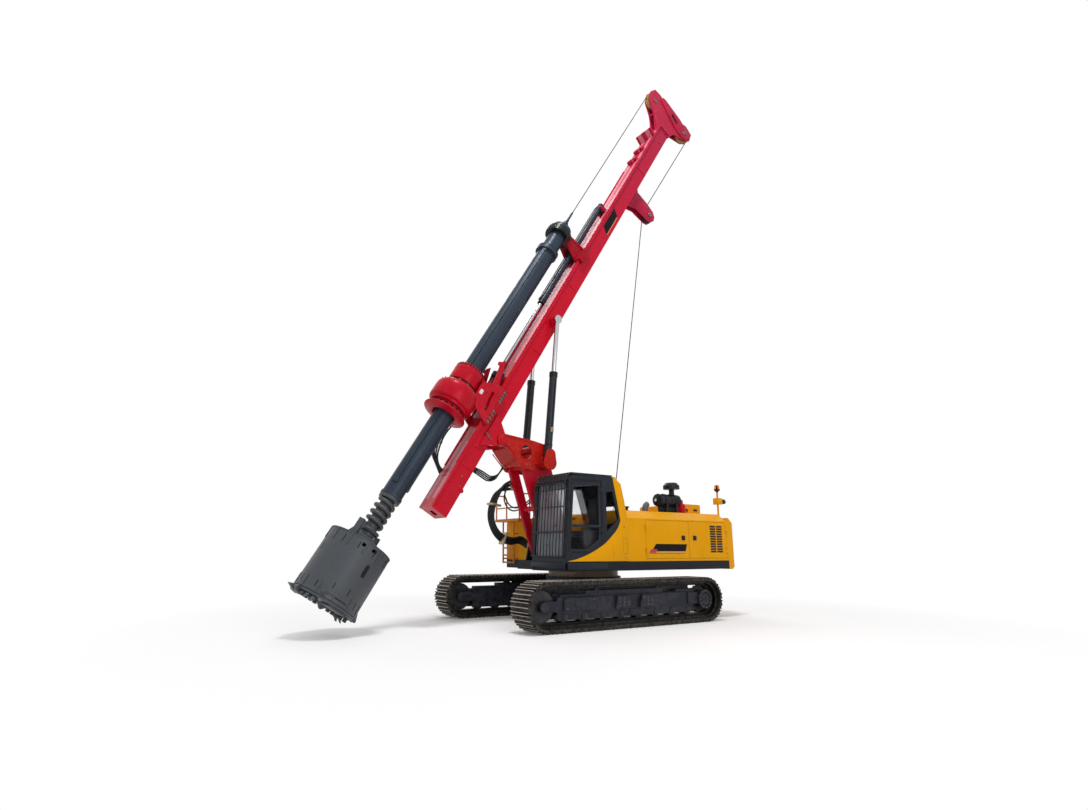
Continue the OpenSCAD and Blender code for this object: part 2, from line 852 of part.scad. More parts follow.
module cab_shell() {
    color([0.12, 0.13, 0.15]) {
        difference() {
            slab(cab_y0, deck_half_w) cab_side(cab_shares);
            slab(cab_y0 + cab_wall, deck_half_w - cab_wall)
                translate([cab_rear_x + cab_wall, deck_z + cab_wall])
                    polygon(sized(cab_shares, cab_l - 2 * cab_wall, cab_h - 2 * cab_wall));
            slab(deck_half_w - 2 * cab_wall, deck_half_w + over) cab_side(door_shares);
            slab(deck_half_w - 2 * cab_wall, deck_half_w + over) cab_side(quarter_shares);
            slab(cab_y0 - over, cab_y0 + 2 * cab_wall) cab_side(right_shares);
            slab(cab_y0 + pillar, deck_half_w - pillar) front_strip(-cab_wall, 2 * cab_wall);
            rear_window(-over, 2 * cab_wall);
        }
        hinge_seat(cab_hinge_x, deck_half_w, -1, cab_hinges);
    }
}

// Block in the rear window between two depths behind the rear wall's face
module rear_window(depth0, depth1) {
    translate([cab_rear_x + depth0, cab_y0 + pillar, deck_z + cab_h * rear_low_share])
        cube([depth1 - depth0, cab_w - 2 * pillar, cab_h * (rear_high_share - rear_low_share)]);
}

cab_hinge_shares = [0.36, 0.84];
cab_hinges = [for (share = cab_hinge_shares) deck_z + cab_h * share];
cab_hinge_x = cab_rear_x + cab_l * door_rear_share + door_gap / 2;

module cab_glass() {
    color([0.3, 0.36, 0.38, 0.4]) {
        slab(cab_y0 + pillar, deck_half_w - pillar)
            front_strip((cab_wall - glass_t) / 2, (cab_wall + glass_t) / 2);
        slab(deck_half_w - (cab_wall + glass_t) / 2, deck_half_w - (cab_wall - glass_t) / 2)
            cab_side(quarter_shares);
        slab(cab_y0 + (cab_wall - glass_t) / 2, cab_y0 + (cab_wall + glass_t) / 2) cab_side(right_shares);
        rear_window((cab_wall - glass_t) / 2, (cab_wall + glass_t) / 2);
    }
}

// Side door with its window, on the left
module cab_door() {
    color([0.12, 0.13, 0.15]) {
        difference() {
            slab(deck_half_w - cab_wall, deck_half_w) intersection() {
                translate([door_gap, door_gap / 2]) cab_side(door_shares);
                translate([-door_gap, -door_gap / 2]) cab_side(door_shares);
                translate([0, door_gap]) cab_side(door_shares);
                translate([0, -door_gap]) cab_side(door_shares);
            }
            slab(deck_half_w - 2 * cab_wall, deck_half_w + over) cab_side(pane_shares);
        }
        hinge_knuckles(cab_hinge_x, deck_half_w, -1, cab_hinges);
    }
}

module door_glass() {
    color([0.3, 0.36, 0.38, 0.4])
        slab(deck_half_w - (cab_wall + glass_t) / 2, deck_half_w - (cab_wall - glass_t) / 2)
            cab_side(pane_shares);
}

bar_r = 11;
guard_out = 55;
guard_seat = 1;
tie_bar_share = 1.2;
guard_tie_shares = [0, 0.33, 0.67, 1];
roof_rear_share = 0.18;
roof_front_share = 0.87;
roof_peak_share = 0.22;
roof_fall_share = 0.023;
roof_tie_shares = [0.23, 0.84];
roof_slots = 7;
roof_plate_t = 22;
slot_margin_share = 0.1;

// Height of the cab roof at a share of the cab's length
function roof_at(share) = deck_z + cab_h * (1 - (share - roof_peak_share) * roof_fall_share);

// Slotted plate of a length and a width
module roof_plate(l, w) {
    pitch = w / roof_slots;
    difference() {
        square([l, w]);
        for (i = [0 : roof_slots - 1])
            translate([l * slot_margin_share, pitch * (i + 0.2)])
                square([l * (1 - 2 * slot_margin_share), pitch * 0.6]);
    }
}

// Bars in front of the windscreen and the slotted plate over the roof
module cab_guard() {
    x0 = cab_front_at(front_low_share) + guard_out;
    z0 = deck_z + front_low_share * cab_h;
    rise = (front_high_share - front_low_share) * cab_h;
    x1 = cab_front_at(front_high_share) + guard_out;
    y0 = cab_y0 + pillar / 2;
    span = cab_w - pillar;
    roof_z = deck_z + cab_h + guard_out / 2;
    color([0.07, 0.07, 0.08]) {
        for (i = [0 : guard_bars - 1])
            translate([x0, y0 + span * i / (guard_bars - 1), z0])
                rotate([0, atan2(x1 - x0, rise), 0]) cylinder(r = bar_r, h = norm([x1 - x0, rise]));
        for (share = guard_tie_shares)
            cross_bar(bar_r * tie_bar_share, y0 - bar_r, y0 + span + bar_r,
                x0 + (x1 - x0) * share, z0 + rise * share);
        for (share = [0, 1])
            for (y = [y0 + bar_r, y0 + span - bar_r])
                translate([x0 + (x1 - x0) * share - guard_out + guard_seat, y, z0 + rise * share])
                    rotate([0, 90, 0]) cylinder(r = bar_r, h = guard_out - guard_seat);
        translate([cab_rear_x + roof_rear_share * cab_l, y0 - bar_r, roof_z - roof_plate_t / 2])
            linear_extrude(roof_plate_t)
                roof_plate((roof_front_share - roof_rear_share) * cab_l, span + 2 * bar_r);
        for (share = roof_tie_shares) {
            x = cab_rear_x + share * cab_l;
            for (y = [y0 + bar_r, y0 + span - bar_r])
                translate([x, y, roof_at(share) + seat_gap])
                    cylinder(r = bar_r, h = roof_z - roof_at(share) - seat_gap);
        }
    }
}

seat_w = 480;
seat_h = 420;
back_h = 620;
cushion_t = 120;

module seat() {
    x = cab_rear_x + cab_wall + 3 * cushion_t;
    y = cab_y0 + cab_w / 2;
    color([0.1, 0.1, 0.11]) {
        translate([x - cushion_t, y - seat_w / 2, deck_z + cab_wall])
            cube([cushion_t, seat_w, seat_h + back_h]);
        translate([x, y - seat_w / 2, deck_z + cab_wall]) cube([seat_w, seat_w, seat_h]);
        for (side = [-1, 1])
            translate([x, y + side * seat_w * 0.62 - cushion_t / 2, deck_z + cab_wall])
                cube([seat_w, cushion_t, seat_h + cushion_t]);
    }
}

// Main winch

winch_w = drum_half_w + drum_flange_t + gap;
winch_head_share = 0.7;
motor_r = 130;
motor_l = 190;

module winch_frame() {
    color([0.55, 0.06, 0.08]) {
        both_sides() slab(winch_w, winch_w + winch_cheek_t) difference() {
            union() {
                translate([drum_x, drum_z]) circle(drum_flange_r * winch_head_share);
                polygon([
                    [drum_x - drum_flange_r, deck_z], [drum_x + drum_flange_r, deck_z],
                    [drum_x + drum_flange_r * winch_head_share, drum_z],
                    [drum_x - drum_flange_r * winch_head_share, drum_z]
                ]);
            }
            translate([drum_x, drum_z]) circle(shaft_r + fit);
        }
        cross_bar(motor_r, -winch_w - winch_cheek_t - motor_l, -winch_w - winch_cheek_t, drum_x, drum_z);
    }
}

module winch_drum() {
    color([0.3, 0.28, 0.26]) {
        cross_bar(drum_r, -drum_half_w, drum_half_w, drum_x, drum_z);
        for (y = [-drum_half_w - drum_flange_t, drum_half_w])
            cross_bar(drum_flange_r, y, y + drum_flange_t, drum_x, drum_z);
        shaft_end = winch_w + winch_cheek_t - over / 2;
        cross_bar(shaft_r, -shaft_end, shaft_end, drum_x, drum_z);
    }
}

// Luffing linkage

// Rear arm: two rails with a cross box and the lugs of the luff cylinder
module luff_arm() {
    a = [arm_x, arm_z];
    b = [arm_top_x, arm_top_z];
    tie = a + (b - a) * luff_share + [arm_r * 0.35, arm_r];
    color([0.78, 0.06, 0.09]) difference() {
        union() {
            both_sides() slab(inner_y - arm_rail_t, inner_y) link_outline(a, b, arm_r * 0.8, arm_r);
            slab(-inner_y, inner_y) translate(tie) circle(arm_r * 0.5);
            both_sides() slab(luff_eye_w / 2 + gap, luff_eye_w / 2 + gap + bracket_t)
                link_outline(tie, [luff_top_x, luff_top_z], arm_r * 0.5, luff_eye_r * 0.8);
        }
        for (q = [a, b]) cross_bar(pin_r + fit, -inner_y - over, inner_y + over, q[0], q[1]);
    }
}

module front_link() {
    a = [leg_x, leg_z];
    b = [leg_top_x, leg_top_z];
    color([0.78, 0.06, 0.09]) difference() {
        union() {
            both_sides() slab(inner_y - leg_t, inner_y) link_outline(a, b, leg_r * 0.75, leg_r);
            cross_bar(leg_r * 0.5, -inner_y, inner_y,
                a[0] + link_dx * leg_tie_share, a[1] + link_dz * leg_tie_share);
        }
        for (q = [a, b]) cross_bar(pin_r + fit, -inner_y - over, inner_y + over, q[0], q[1]);
    }
}

leg_tie_share = 0.5;

// Outline of a bracket plate as shares of its length back from the mast pivot and its drop
plate_l = 1130;
plate_h = 590;
plate_shares = [
    [-0.06, 0.2], [0.02, 0.22], [0.66, 0.08], [0.93, -0.02], [1, -0.2], [1, -0.62], [0.68, -0.8],
    [0.68, -1], [0.44, -1]
];
plate_hole_r = 145;
plate_hole_shares = [0.49, -0.36];

web_r = 18;
web_shares = [[0.13, -0.25], [0.37, -0.82]];

// A point of the bracket plate given as shares
function plate_point(q) = [pivot_x - q[0] * plate_l, pivot_z + q[1] * plate_h];

// Triangle bracket that joins the arm, the legs, the mast and the mast cylinders
module triangle() {
    pin_end = plate_in_y + plate_t / 2;
    tie = plate_point(tie_shares);
    color([0.85, 0.1, 0.06]) {
        both_sides() {
            slab(plate_in_y, plate_out_y) {
                difference() {
                    polygon([for (q = plate_shares) plate_point(q)]);
                    translate(plate_point(plate_hole_shares)) circle(plate_hole_r);
                }
                translate([pivot_x, pivot_z]) circle(lug_r);
                translate([arm_top_x, arm_top_z]) circle(arm_r);
            }
            slab(cheek_out_y, cheek_out_y + cheek_out_t) link_outline(
                [cyl_base_x, cyl_base_z], [arm_top_x, arm_top_z - arm_r * 0.3], cyl_eye_r * 1.3, arm_r);
            slab(plate_out_y - over / 2, cheek_out_y + over / 2)
                translate([arm_top_x, arm_top_z - arm_r * 0.6]) circle(arm_r * 0.5);
            cross_bar(cyl_pin_r, plate_out_y - over / 2, cheek_out_y + over / 2, cyl_base_x, cyl_base_z);
        }
        cross_bar(mast_pin_r, -plate_out_y, plate_out_y, pivot_x, pivot_z);
        cross_bar(pin_r, -pin_end, pin_end, arm_top_x, arm_top_z);
        cross_bar(pin_r, -pin_end, pin_end, leg_top_x, leg_top_z);
        cross_bar(tie_r, -pin_end, pin_end, tie[0], tie[1]);
        slab(-pin_end, pin_end)
            link_outline(plate_point(web_shares[0]), plate_point(web_shares[1]), web_r, web_r);
    }
}

tie_r = 80;
tie_shares = [0.75, -0.2];

// Cylinder barrel with its foot eye at the start of its own axis
module barrel(r, bore_r, l, eye_r, eye_w, foot_pin_r, y) {
    translate([0, y, 0]) difference() {
        union() {
            translate([0, 0, eye_r * 0.6]) cylinder(r = r, h = l - eye_r * 0.6);
            rotate([90, 0, 0]) cylinder(r = eye_r, h = eye_w, center = true);
        }
        rotate([90, 0, 0]) cylinder(r = foot_pin_r + fit, h = 4 * r + over, center = true);
        translate([0, 0, eye_r * 2]) cylinder(r = bore_r, h = l);
    }
}

// Piston rod between two places on its axis, with the eye and its short pin at the far end
module piston_rod(r, from, to, eye_r, eye_w, pin_r, y) {
    translate([0, y, 0]) {
        translate([0, 0, from]) cylinder(r = r, h = to - from - eye_r * 0.5);
        translate([0, 0, to]) rotate([90, 0, 0]) cylinder(r = eye_r, h = eye_w, center = true);
        translate([0, 0, to]) rotate([90, 0, 0]) cylinder(r = pin_r, h = eye_w + gap, center = true);
    }
}

luff_barrel_l = 1120;
luff_rod_from = 520;
luff_rod_r = 55;

module luff_barrel() {
    color([0.06, 0.06, 0.07]) along([luff_base_x, luff_base_z], [luff_top_x, luff_top_z])
        barrel(luff_r, luff_rod_r + rod_gap, luff_barrel_l, luff_eye_r, luff_eye_w, pin_r, 0);
}

module luff_rod() {
    a = [luff_base_x, luff_base_z];
    b = [luff_top_x, luff_top_z];
    color([0.8, 0.8, 0.82]) along(a, b)
        piston_rod(luff_rod_r, luff_rod_from, reach(a, b), luff_eye_r * 0.75, luff_eye_w, pin_r / 2, 0);
}

cyl_rod_from = 1200;

module mast_barrels() {
    color([0.06, 0.06, 0.07]) along([cyl_base_x, cyl_base_z], mast_point(cyl_eye_t, cyl_eye_s))
        for (side = [-1, 1])
            barrel(cyl_r, cyl_rod_r + rod_gap, cyl_barrel_l, cyl_eye_r, cyl_eye_w, cyl_pin_r, side * cyl_y);
}

module mast_rods() {
    a = [cyl_base_x, cyl_base_z];
    b = mast_point(cyl_eye_t, cyl_eye_s);
    color([0.8, 0.8, 0.82]) along(a, b) for (side = [-1, 1])
        piston_rod(cyl_rod_r, cyl_rod_from, reach(a, b), cyl_eye_r, cyl_eye_w, cyl_pin_r / 2, side * cyl_y);
}

// Mast

cap_t = 20;
foot_hole_w = 140;
foot_hole_d = 150;
lug_t = 70;
lug_len = 420;
lip_drop = 420;
lip_out = 220;
lip_t = 40;
lug_s = -1380;
tail_lug_r = 45;

module mast() {
    l = mast_above + mast_below;
    box_d = mast_d - rail_t;
    color([0.8, 0.05, 0.1]) on_mast() {
        difference() {
            union() {
                translate([mast_back, -mast_w / 2, -mast_below]) cube([box_d, mast_w, l]);
                translate([mast_back + box_d, -rail_half_w, -mast_below]) cube([rail_t, 2 * rail_half_w, l]);
                both_sides() slab(inner_y - lug_t, inner_y) {
                    circle(lug_r);
                    polygon([
                        [0, lug_r], [0, -lug_r], [mast_back + box_d / 2, -lug_len],
                        [mast_back + box_d / 2, lug_len]
                    ]);
                }
                both_sides() cross_bar(cyl_eye_r * 1.2, mast_w / 2 - mast_wall, cyl_y - cyl_eye_w / 2 - gap,
                    cyl_eye_t, cyl_eye_s);
                slab(-rail_half_w, rail_half_w) polygon([
                    [mast_front - rail_t / 2, mast_above - lip_drop],
                    [mast_front - rail_t / 2, mast_above - lip_drop - 2 * lip_t],
                    [mast_front + lip_out, mast_above - lip_drop],
                    [mast_front + lip_out, mast_above - lip_drop + lip_t]
                ]);
                slab(-mast_w / 4, mast_w / 4) link_outline([mast_back + mast_wall, lug_s],
                    [mast_back - tail_lug_r, lug_s], 2 * tail_lug_r, tail_lug_r);
            }
            translate([mast_back + mast_wall, mast_wall - mast_w / 2, cap_t - mast_below])
                cube([box_d - mast_wall, mast_w - 2 * mast_wall, l - 2 * cap_t]);
            translate([mast_back + (box_d - foot_hole_d) / 2, -foot_hole_w / 2, -mast_below - over])
                cube([foot_hole_d, foot_hole_w, 2 * over + cap_t]);
            cross_bar(mast_pin_r + fit, -inner_y - over, inner_y + over, 0, 0);
        }
    }
}

crown_base_t = 40;
crown_plate_in = 65;
crown_plate_t = 30;

// Crown plate outline as shares of the sheave span and the crown height
crown_h = 1170;
crown_span = kelly_t - rear_sheave_t;
crown_shares = [
    [0.28, 0], [0.55, 0], [0.72, 0.32], [0.95, 0.55], [1.01, 0.8], [0.95, 0.98], [0.78, 1], [0.6, 0.86],
    [0.3, 0.88], [0.02, 1], [-0.16, 0.94], [-0.19, 0.72], [-0.08, 0.56], [0.16, 0.42]
];
crown_slot_shares = [[0.33, 0.8], [0.365, 0.765], [0.25, 0.59], [0.215, 0.625]];

module crown() {
    color([0.75, 0.07, 0.15]) on_mast() {
        translate([mast_back, -rail_half_w, mast_above]) cube([mast_d, 2 * rail_half_w, crown_base_t]);
        both_sides() slab(crown_plate_in, crown_plate_in + crown_plate_t)
            translate([rear_sheave_t, mast_above]) difference() {
                polygon(sized(crown_shares, crown_span, crown_h));
                polygon(sized(crown_slot_shares, crown_span, crown_h));
            }
        crown_out = crown_plate_in + crown_plate_t;
        for (q = [[kelly_t - sheave_r, front_sheave_s], [rear_sheave_t, rear_sheave_s]])
            cross_bar(sheave_pin_r, -crown_out, crown_out, q[0], q[1]);
    }
}

groove_d = 30;
rim_w = 12;

// A grooved rope wheel at a place of the mast frame
module sheave(r, t, s) {
    on_mast() translate([t, 0, s]) rotate([90, 0, 0]) rotate_extrude() polygon([
        [sheave_pin_r + fit, -sheave_w / 2],
        [r + groove_d, -sheave_w / 2],
        [r + groove_d, -sheave_w / 2 + rim_w],
        [r - seat_gap, -rope_r],
        [r - seat_gap, rope_r],
        [r + groove_d, sheave_w / 2 - rim_w],
        [r + groove_d, sheave_w / 2],
        [sheave_pin_r + fit, sheave_w / 2]
    ]);
}

module sheave_front() {
    color([0.7, 0.5, 0.2]) sheave(sheave_r - rope_r, kelly_t - sheave_r, front_sheave_s);
}

module sheave_rear() {
    color([0.7, 0.5, 0.2]) sheave(sheave_r - rope_r, rear_sheave_t, rear_sheave_s);
}

module sheave_guide() {
    color([0.3, 0.28, 0.26]) sheave(guide_r, guide_t, guide_s);
}

bracket_low = 250;
bracket_high = 420;

// Bracket of the guide pulley on the rear of the mast
module guide_bracket() {
    color([0.72, 0.05, 0.09]) on_mast() {
        both_sides() slab(crown_plate_in - gap, crown_plate_in - gap + crown_plate_t) {
            polygon([
                [mast_back, guide_s + bracket_high], [mast_back, guide_s - bracket_low / 4],
                [guide_t, guide_s - guide_r], [guide_t, guide_s + guide_r]
            ]);
            translate([guide_t, guide_s]) circle(guide_r);
        }
        cross_bar(sheave_pin_r, -crown_plate_in, crown_plate_in, guide_t, guide_s);
        translate([mast_back - crown_plate_t, -crown_plate_in * 2, guide_s])
            cube([crown_plate_t, crown_plate_in * 4, bracket_high]);
    }
}

crowd_foot = 160;

// Barrel of the feed cylinder with the bracket that seats on the mast
module crowd_barrel() {
    color([0.06, 0.06, 0.07]) on_mast() {
        difference() {
            translate([crowd_t, 0, crowd_low]) cylinder(r = crowd_r, h = crowd_high - crowd_low);
            translate([crowd_t, 0, crowd_low - over])
                cylinder(r = crowd_rod_r + rod_gap, h = crowd_high - crowd_low - crowd_foot);
        }
        translate([mast_front, -crowd_r, crowd_high - crowd_foot])
            cube([crowd_t - mast_front, 2 * crowd_r, crowd_foot]);
    }
}

crowd_rod_top = 4750;
crowd_rod_low = 1250;
rod_eye_r = 70;

// Rod of the feed cylinder with its eye at the head
module crowd_rod() {
    color([0.8, 0.8, 0.82]) on_mast() {
        translate([crowd_t, 0, crowd_rod_low]) cylinder(r = crowd_rod_r, h = crowd_rod_top - crowd_rod_low);
        cross_bar(rod_eye_r, -crowd_rod_r, crowd_rod_r, crowd_t, crowd_rod_low);
    }
}

// Rotary head

neck_share = 0.35;
step_share = 0.65;
groove_shares = [0.52, 0.58];

module rotary_head() {
    neck_low = head_low + (gear_low - head_low) * neck_share;
    neck_step = head_low + (gear_low - head_low) * step_share;
    groove = [for (q = groove_shares) gear_high + (head_high - gear_high) * q];
    color([0.82, 0.04, 0.12]) on_mast() translate([kelly_t, 0, 0]) rotate_extrude($fn = 96) polygon([
        [sleeve_r + rod_gap, neck_low],
        [gearbox_r * 0.76, neck_low],
        [gearbox_r * 0.76, neck_step],
        [gearbox_r * 0.88, neck_step],
        [gearbox_r * 0.88, gear_low - over],
        [gearbox_r, gear_low],
        [gearbox_r, gear_high * 0.75],
        [gearbox_r * 0.88, gear_high],
        [housing_r, gear_high],
        [housing_r, groove[0]],
        [housing_r * 0.9, groove[0]],
        [housing_r * 0.9, groove[1]],
        [housing_r, groove[1]],
        [housing_r, head_high - housing_r / 8],
        [housing_r * 0.95, head_high],
        [sleeve_r + rod_gap, head_high]
    ]);
}

sled_shares = [
    [0, 0], [0.72, 0.14], [1, 0.4], [1, 0.62], [0.62, 0.74], [0.78, 1.2], [0.66, 1.28], [0.4, 0.8], [0, 0.8]
];
sled_rear = 490;
sled_l = 560;
slot_shares = [[0.3, 0.22], [0.42, 0.22], [0.5, 0.6], [0.38, 0.6]];

// Sled that carries the head on the guide rails
module head_sled() {
    hook_in = mast_w / 2 + gap;
    front = mast_front + seat_gap;
    color([0.82, 0.04, 0.1]) on_mast() difference() {
        union() {
            both_sides() slab(side_in_y, side_in_y + side_t) difference() {
                translate([sled_rear, 0]) polygon(sized(sled_shares, sled_l, head_high - gear_low));
                translate([sled_rear, 0]) polygon(sized(slot_shares, sled_l, head_high - gear_low));
            }
            both_sides() translate([sled_rear, hook_in, 0])
                cube([mast_front - rail_t - seat_gap - sled_rear, side_in_y - hook_in + over,
                    head_high * 0.75]);
            translate([front, -side_in_y - over, head_high * 0.1])
                cube([side_t, 2 * side_in_y + 2 * over, head_high * 0.62]);
            both_sides() translate([front, crowd_rod_r, head_high * 0.6])
                cube([crowd_t - front + rod_eye_r, side_t, crowd_rod_low - head_high * 0.6 + rod_eye_r]);
        }
        translate([kelly_t, 0, gear_low - over])
            cylinder(r = gearbox_r, h = gear_high * 0.75 - gear_low + over, $fn = 96);
        translate([kelly_t, 0, gear_high * 0.75])
            cylinder(r1 = gearbox_r, r2 = gearbox_r * 0.88, h = gear_high * 0.25, $fn = 96);
        translate([kelly_t, 0, gear_high]) cylinder(r = housing_r, h = head_high, $fn = 96);
        cross_bar(rod_eye_r, -crowd_rod_r, crowd_rod_r, crowd_t, crowd_rod_low);
    }
}

motor_share = 0.806;
head_motor_r = 43;
head_motor_h = 420;

module head_motors() {
    color([0.08, 0.08, 0.09]) on_mast() for (a = [-60, -110])
        translate([kelly_t + gearbox_r * motor_share * cos(a), gearbox_r * motor_share * sin(a), gear_high])
            cylinder(r = head_motor_r, h = head_motor_h);
}

// Sleeve that turns the kelly inside the head
module drive_sleeve() {
    color([0.75, 0.05, 0.1]) on_mast() translate([kelly_t, 0, 0]) rotate_extrude($fn = 96) polygon([
        [sleeve_bore_r, head_low],
        [gearbox_r * 0.97, head_low],
        [gearbox_r * 0.97, head_low + (gear_low - head_low) * 0.25],
        [sleeve_r, head_low + (gear_low - head_low) * 0.25],
        [sleeve_r, head_high + gap],
        [sleeve_bore_r, head_high + gap]
    ]);
}

// Kelly

flange_drop = 560;
flange_s = kelly_above - flange_drop;
flange_t = 60;
flange_r = 262;
rib_low = -2000;
kelly_cap_h = 140;
kelly_cap_r = 240;

module kelly_bar() {
    color([0.28, 0.33, 0.38]) on_mast() translate([kelly_t, 0, 0]) {
        translate([0, 0, -kelly_below]) cylinder(r = kelly_r, h = kelly_above + kelly_below, $fn = 96);
        for (i = [0 : 2]) rotate(i * 120 + 45)
            translate([0, -rib_half_w, rib_low]) cube([kelly_r + rib_h, 2 * rib_half_w, flange_s - rib_low]);
        translate([0, 0, flange_s]) cylinder(r = flange_r, h = flange_t);
        translate([0, 0, kelly_above - over])
            cylinder(r = ring_in_r - gap / 2, h = ring_top - kelly_above + over + gap);
        translate([0, 0, ring_top + seat_gap]) cylinder(r = kelly_cap_r, h = kelly_cap_h);
    }
}

spring_r = 190;
spring_coil_r = 32;
spring_count = 4;
stub_w = 200;
stub_low = 3290;
collar_r = 215;

// Foot of the kelly with its damping spring and the square stub
module kelly_foot() {
    spring_l = stub_low - kelly_below - 2 * collar_r;
    color([0.25, 0.27, 0.28]) on_mast() translate([kelly_t, 0, 0]) {
        translate([0, 0, -kelly_below - spring_coil_r * 2]) cylinder(r = collar_r, h = spring_coil_r * 2);
        translate([0, 0, -stub_low + collar_r])
            cylinder(r = spring_r - spring_coil_r, h = stub_low - kelly_below - collar_r);
        for (i = [1 : spring_count])
            translate([0, 0, -kelly_below - spring_coil_r * 2 - i * spring_l / spring_count])
                rotate_extrude() translate([spring_r - spring_coil_r, 0]) circle(spring_coil_r);
        translate([-stub_w / 2, -stub_w / 2, -stub_low]) cube([stub_w, stub_w, collar_r + over]);
    }
}

// Carriage that guides the top of the kelly on the rails
module kelly_guide() {
    hook_in = mast_w / 2 + gap;
    front = mast_front + seat_gap;
    color([0.7, 0.05, 0.08]) on_mast() {
        difference() {
            union() {
                translate([kelly_t, 0, ring_low]) cylinder(r = ring_out_r, h = ring_top - ring_low, $fn = 96);
                both_sides() slab(guide_in_y, guide_in_y + side_t) polygon([
                    [front, ring_low - guide_drop], [front + side_t, ring_low - guide_drop],
                    [kelly_t - ring_in_r, ring_low], [kelly_t - ring_in_r, ring_top], [front, ring_top]
                ]);
                both_sides() translate([front, guide_in_y, ring_low - guide_drop])
                    cube([side_t, side_in_y - guide_in_y + side_t, ring_top - ring_low + guide_drop]);
            }
            translate([kelly_t, 0, ring_low - over])
                cylinder(r = ring_in_r, h = ring_top - ring_low + 2 * over, $fn = 96);
        }
        both_sides() {
            translate([sled_rear, side_in_y, ring_low - guide_drop])
                cube([front + side_t - sled_rear, side_t, ring_top - ring_low + guide_drop]);
            translate([sled_rear, hook_in, ring_low - guide_drop])
                cube([mast_front - rail_t - seat_gap - sled_rear, side_in_y - hook_in + over,
                    ring_top - ring_low + guide_drop]);
        }
    }
}

guide_in_y = 110;
guide_drop = 260;
swivel_r = 60;
swivel_h = 330;

// Rope swivel above the kelly
module kelly_swivel() {
    color([0.2, 0.22, 0.24]) on_mast() translate([kelly_t, 0, swivel_top - swivel_h])
        cylinder(r = swivel_r, h = swivel_h);
}

// Drilling bucket

box_half_w = 160;
box_side_t = 30;
box_rise = 160;
ear_w = 110;
ear_h = 330;
vent_turns = [80, 100, 260, 280];
vent_w = 100;
vent_h = 60;
port_turn = 105;
port_r = 25;
port_high = 400;
port_low = 540;
roof_t = 40;
hinge_out = 35;
hinge_r = 14;
hinge_half_w = 55;
hinge_ear_t = 35;

module bucket_shell() {
    color([0.3, 0.32, 0.36]) on_mast() translate([kelly_t, 0, 0]) {
        difference() {
            union() {
                translate([0, 0, -bucket_low]) cylinder(r = bucket_r, h = bucket_h, $fn = 96);
                translate([-box_half_w, -box_half_w, -bucket_top - over])
                    cube([2 * box_half_w, 2 * box_half_w, box_rise + over]);
                for (a = [45, 225]) rotate(a) translate([bucket_r * 0.72, -ear_w / 2, -bucket_top - over])
                    cube([roof_t, ear_w, ear_h + over]);
                both_sides() slab(hinge_half_w, hinge_half_w + hinge_ear_t) link_outline(
                    [-bucket_r - hinge_out, -bucket_low - floor_t / 2],
                    [-bucket_r + bucket_wall / 2, -bucket_low + ear_w], hinge_r * 1.8, hinge_r * 2);
            }
            translate([0, 0, -bucket_low - over])
                cylinder(r = bucket_r - bucket_wall, h = bucket_h - roof_t + over, $fn = 96);
            translate([-stub_w / 2 - seat_gap, -stub_w / 2 - seat_gap, -stub_low])
                cube([stub_w + 2 * seat_gap, stub_w + 2 * seat_gap, box_rise + 2 * over]);
            for (turn = vent_turns) rotate(turn)
                translate([bucket_r - bucket_wall * 2, -vent_w / 2, -bucket_top - vent_h - roof_t * 1.5])
                    cube([bucket_wall * 4, vent_w, vent_h]);
            rotate(port_turn) run_along(bucket_r - bucket_wall * 2, bucket_r + bucket_wall, -bucket_top)
                link_outline([0, -port_low], [0, -port_high], port_r, port_r);
        }
        cross_bar(hinge_r, -hinge_half_w - hinge_ear_t / 2, hinge_half_w + hinge_ear_t / 2,
            -bucket_r - hinge_out, -bucket_low - floor_t / 2);
    }
}

floor_gap = 6;
tooth_count = 5;
tooth_t = 60;

// Hinged floor with its row of teeth
module bucket_floor() {
    color([0.26, 0.27, 0.3]) on_mast() translate([kelly_t, 0, 0]) difference() {
        union() {
            translate([0, 0, -bucket_low - floor_t])
                cylinder(r = bucket_r - floor_gap, h = floor_t - floor_gap, $fn = 96);
            for (side = [0, 180]) rotate(side) for (i = [0 : tooth_count - 1])
                translate([bucket_r * (0.2 + 0.15 * i), 0, -bucket_low - floor_t - tooth_h])
                    cube([tooth_t, tooth_t, tooth_h + over]);
            slab(-hinge_half_w + floor_gap, hinge_half_w - floor_gap) link_outline(
                [-bucket_r - hinge_out, -bucket_low - floor_t / 2],
                [-bucket_r + ear_w, -bucket_low - floor_t / 2 - floor_gap / 2],
                hinge_r * 1.4, (floor_t - floor_gap) / 2);
        }
        cross_bar(hinge_r + fit, -hinge_half_w, hinge_half_w,
            -bucket_r - hinge_out, -bucket_low - floor_t / 2);
    }
}

// Hoist rope

// Straight rope between two points of an upright plane
module rope_between(a, b) {
    along(a, b) cylinder(r = rope_r, h = reach(a, b), $fn = 16);
}

swivel_top = ring_top + 2 * seat_gap + kelly_cap_h + swivel_h;

module rope_kelly() {
    color([0.2, 0.2, 0.22])
        rope_between(mast_point(kelly_t, swivel_top), mast_point(kelly_t, front_sheave_s));
}

rope_joint_share = 1.01;
rope_low = [drum_x - drum_r - rope_r - seat_gap, drum_z];

// Where a rope that comes up from a point meets the front of a round
function meet_round(c, e, r) =
    let (d = c - e, l = norm(d), a = asin(r / l), u = d / l)
    e + sqrt(l * l - r * r) * [u[0] * cos(a) + u[1] * sin(a), u[1] * cos(a) - u[0] * sin(a)];

guide_point = mast_point(guide_t, guide_s);
rope_leave = meet_round(guide_point, rope_low, guide_r + rope_r);
leave_angle = mast_lean - atan2(rope_leave[1] - guide_point[1], rope_leave[0] - guide_point[0]);

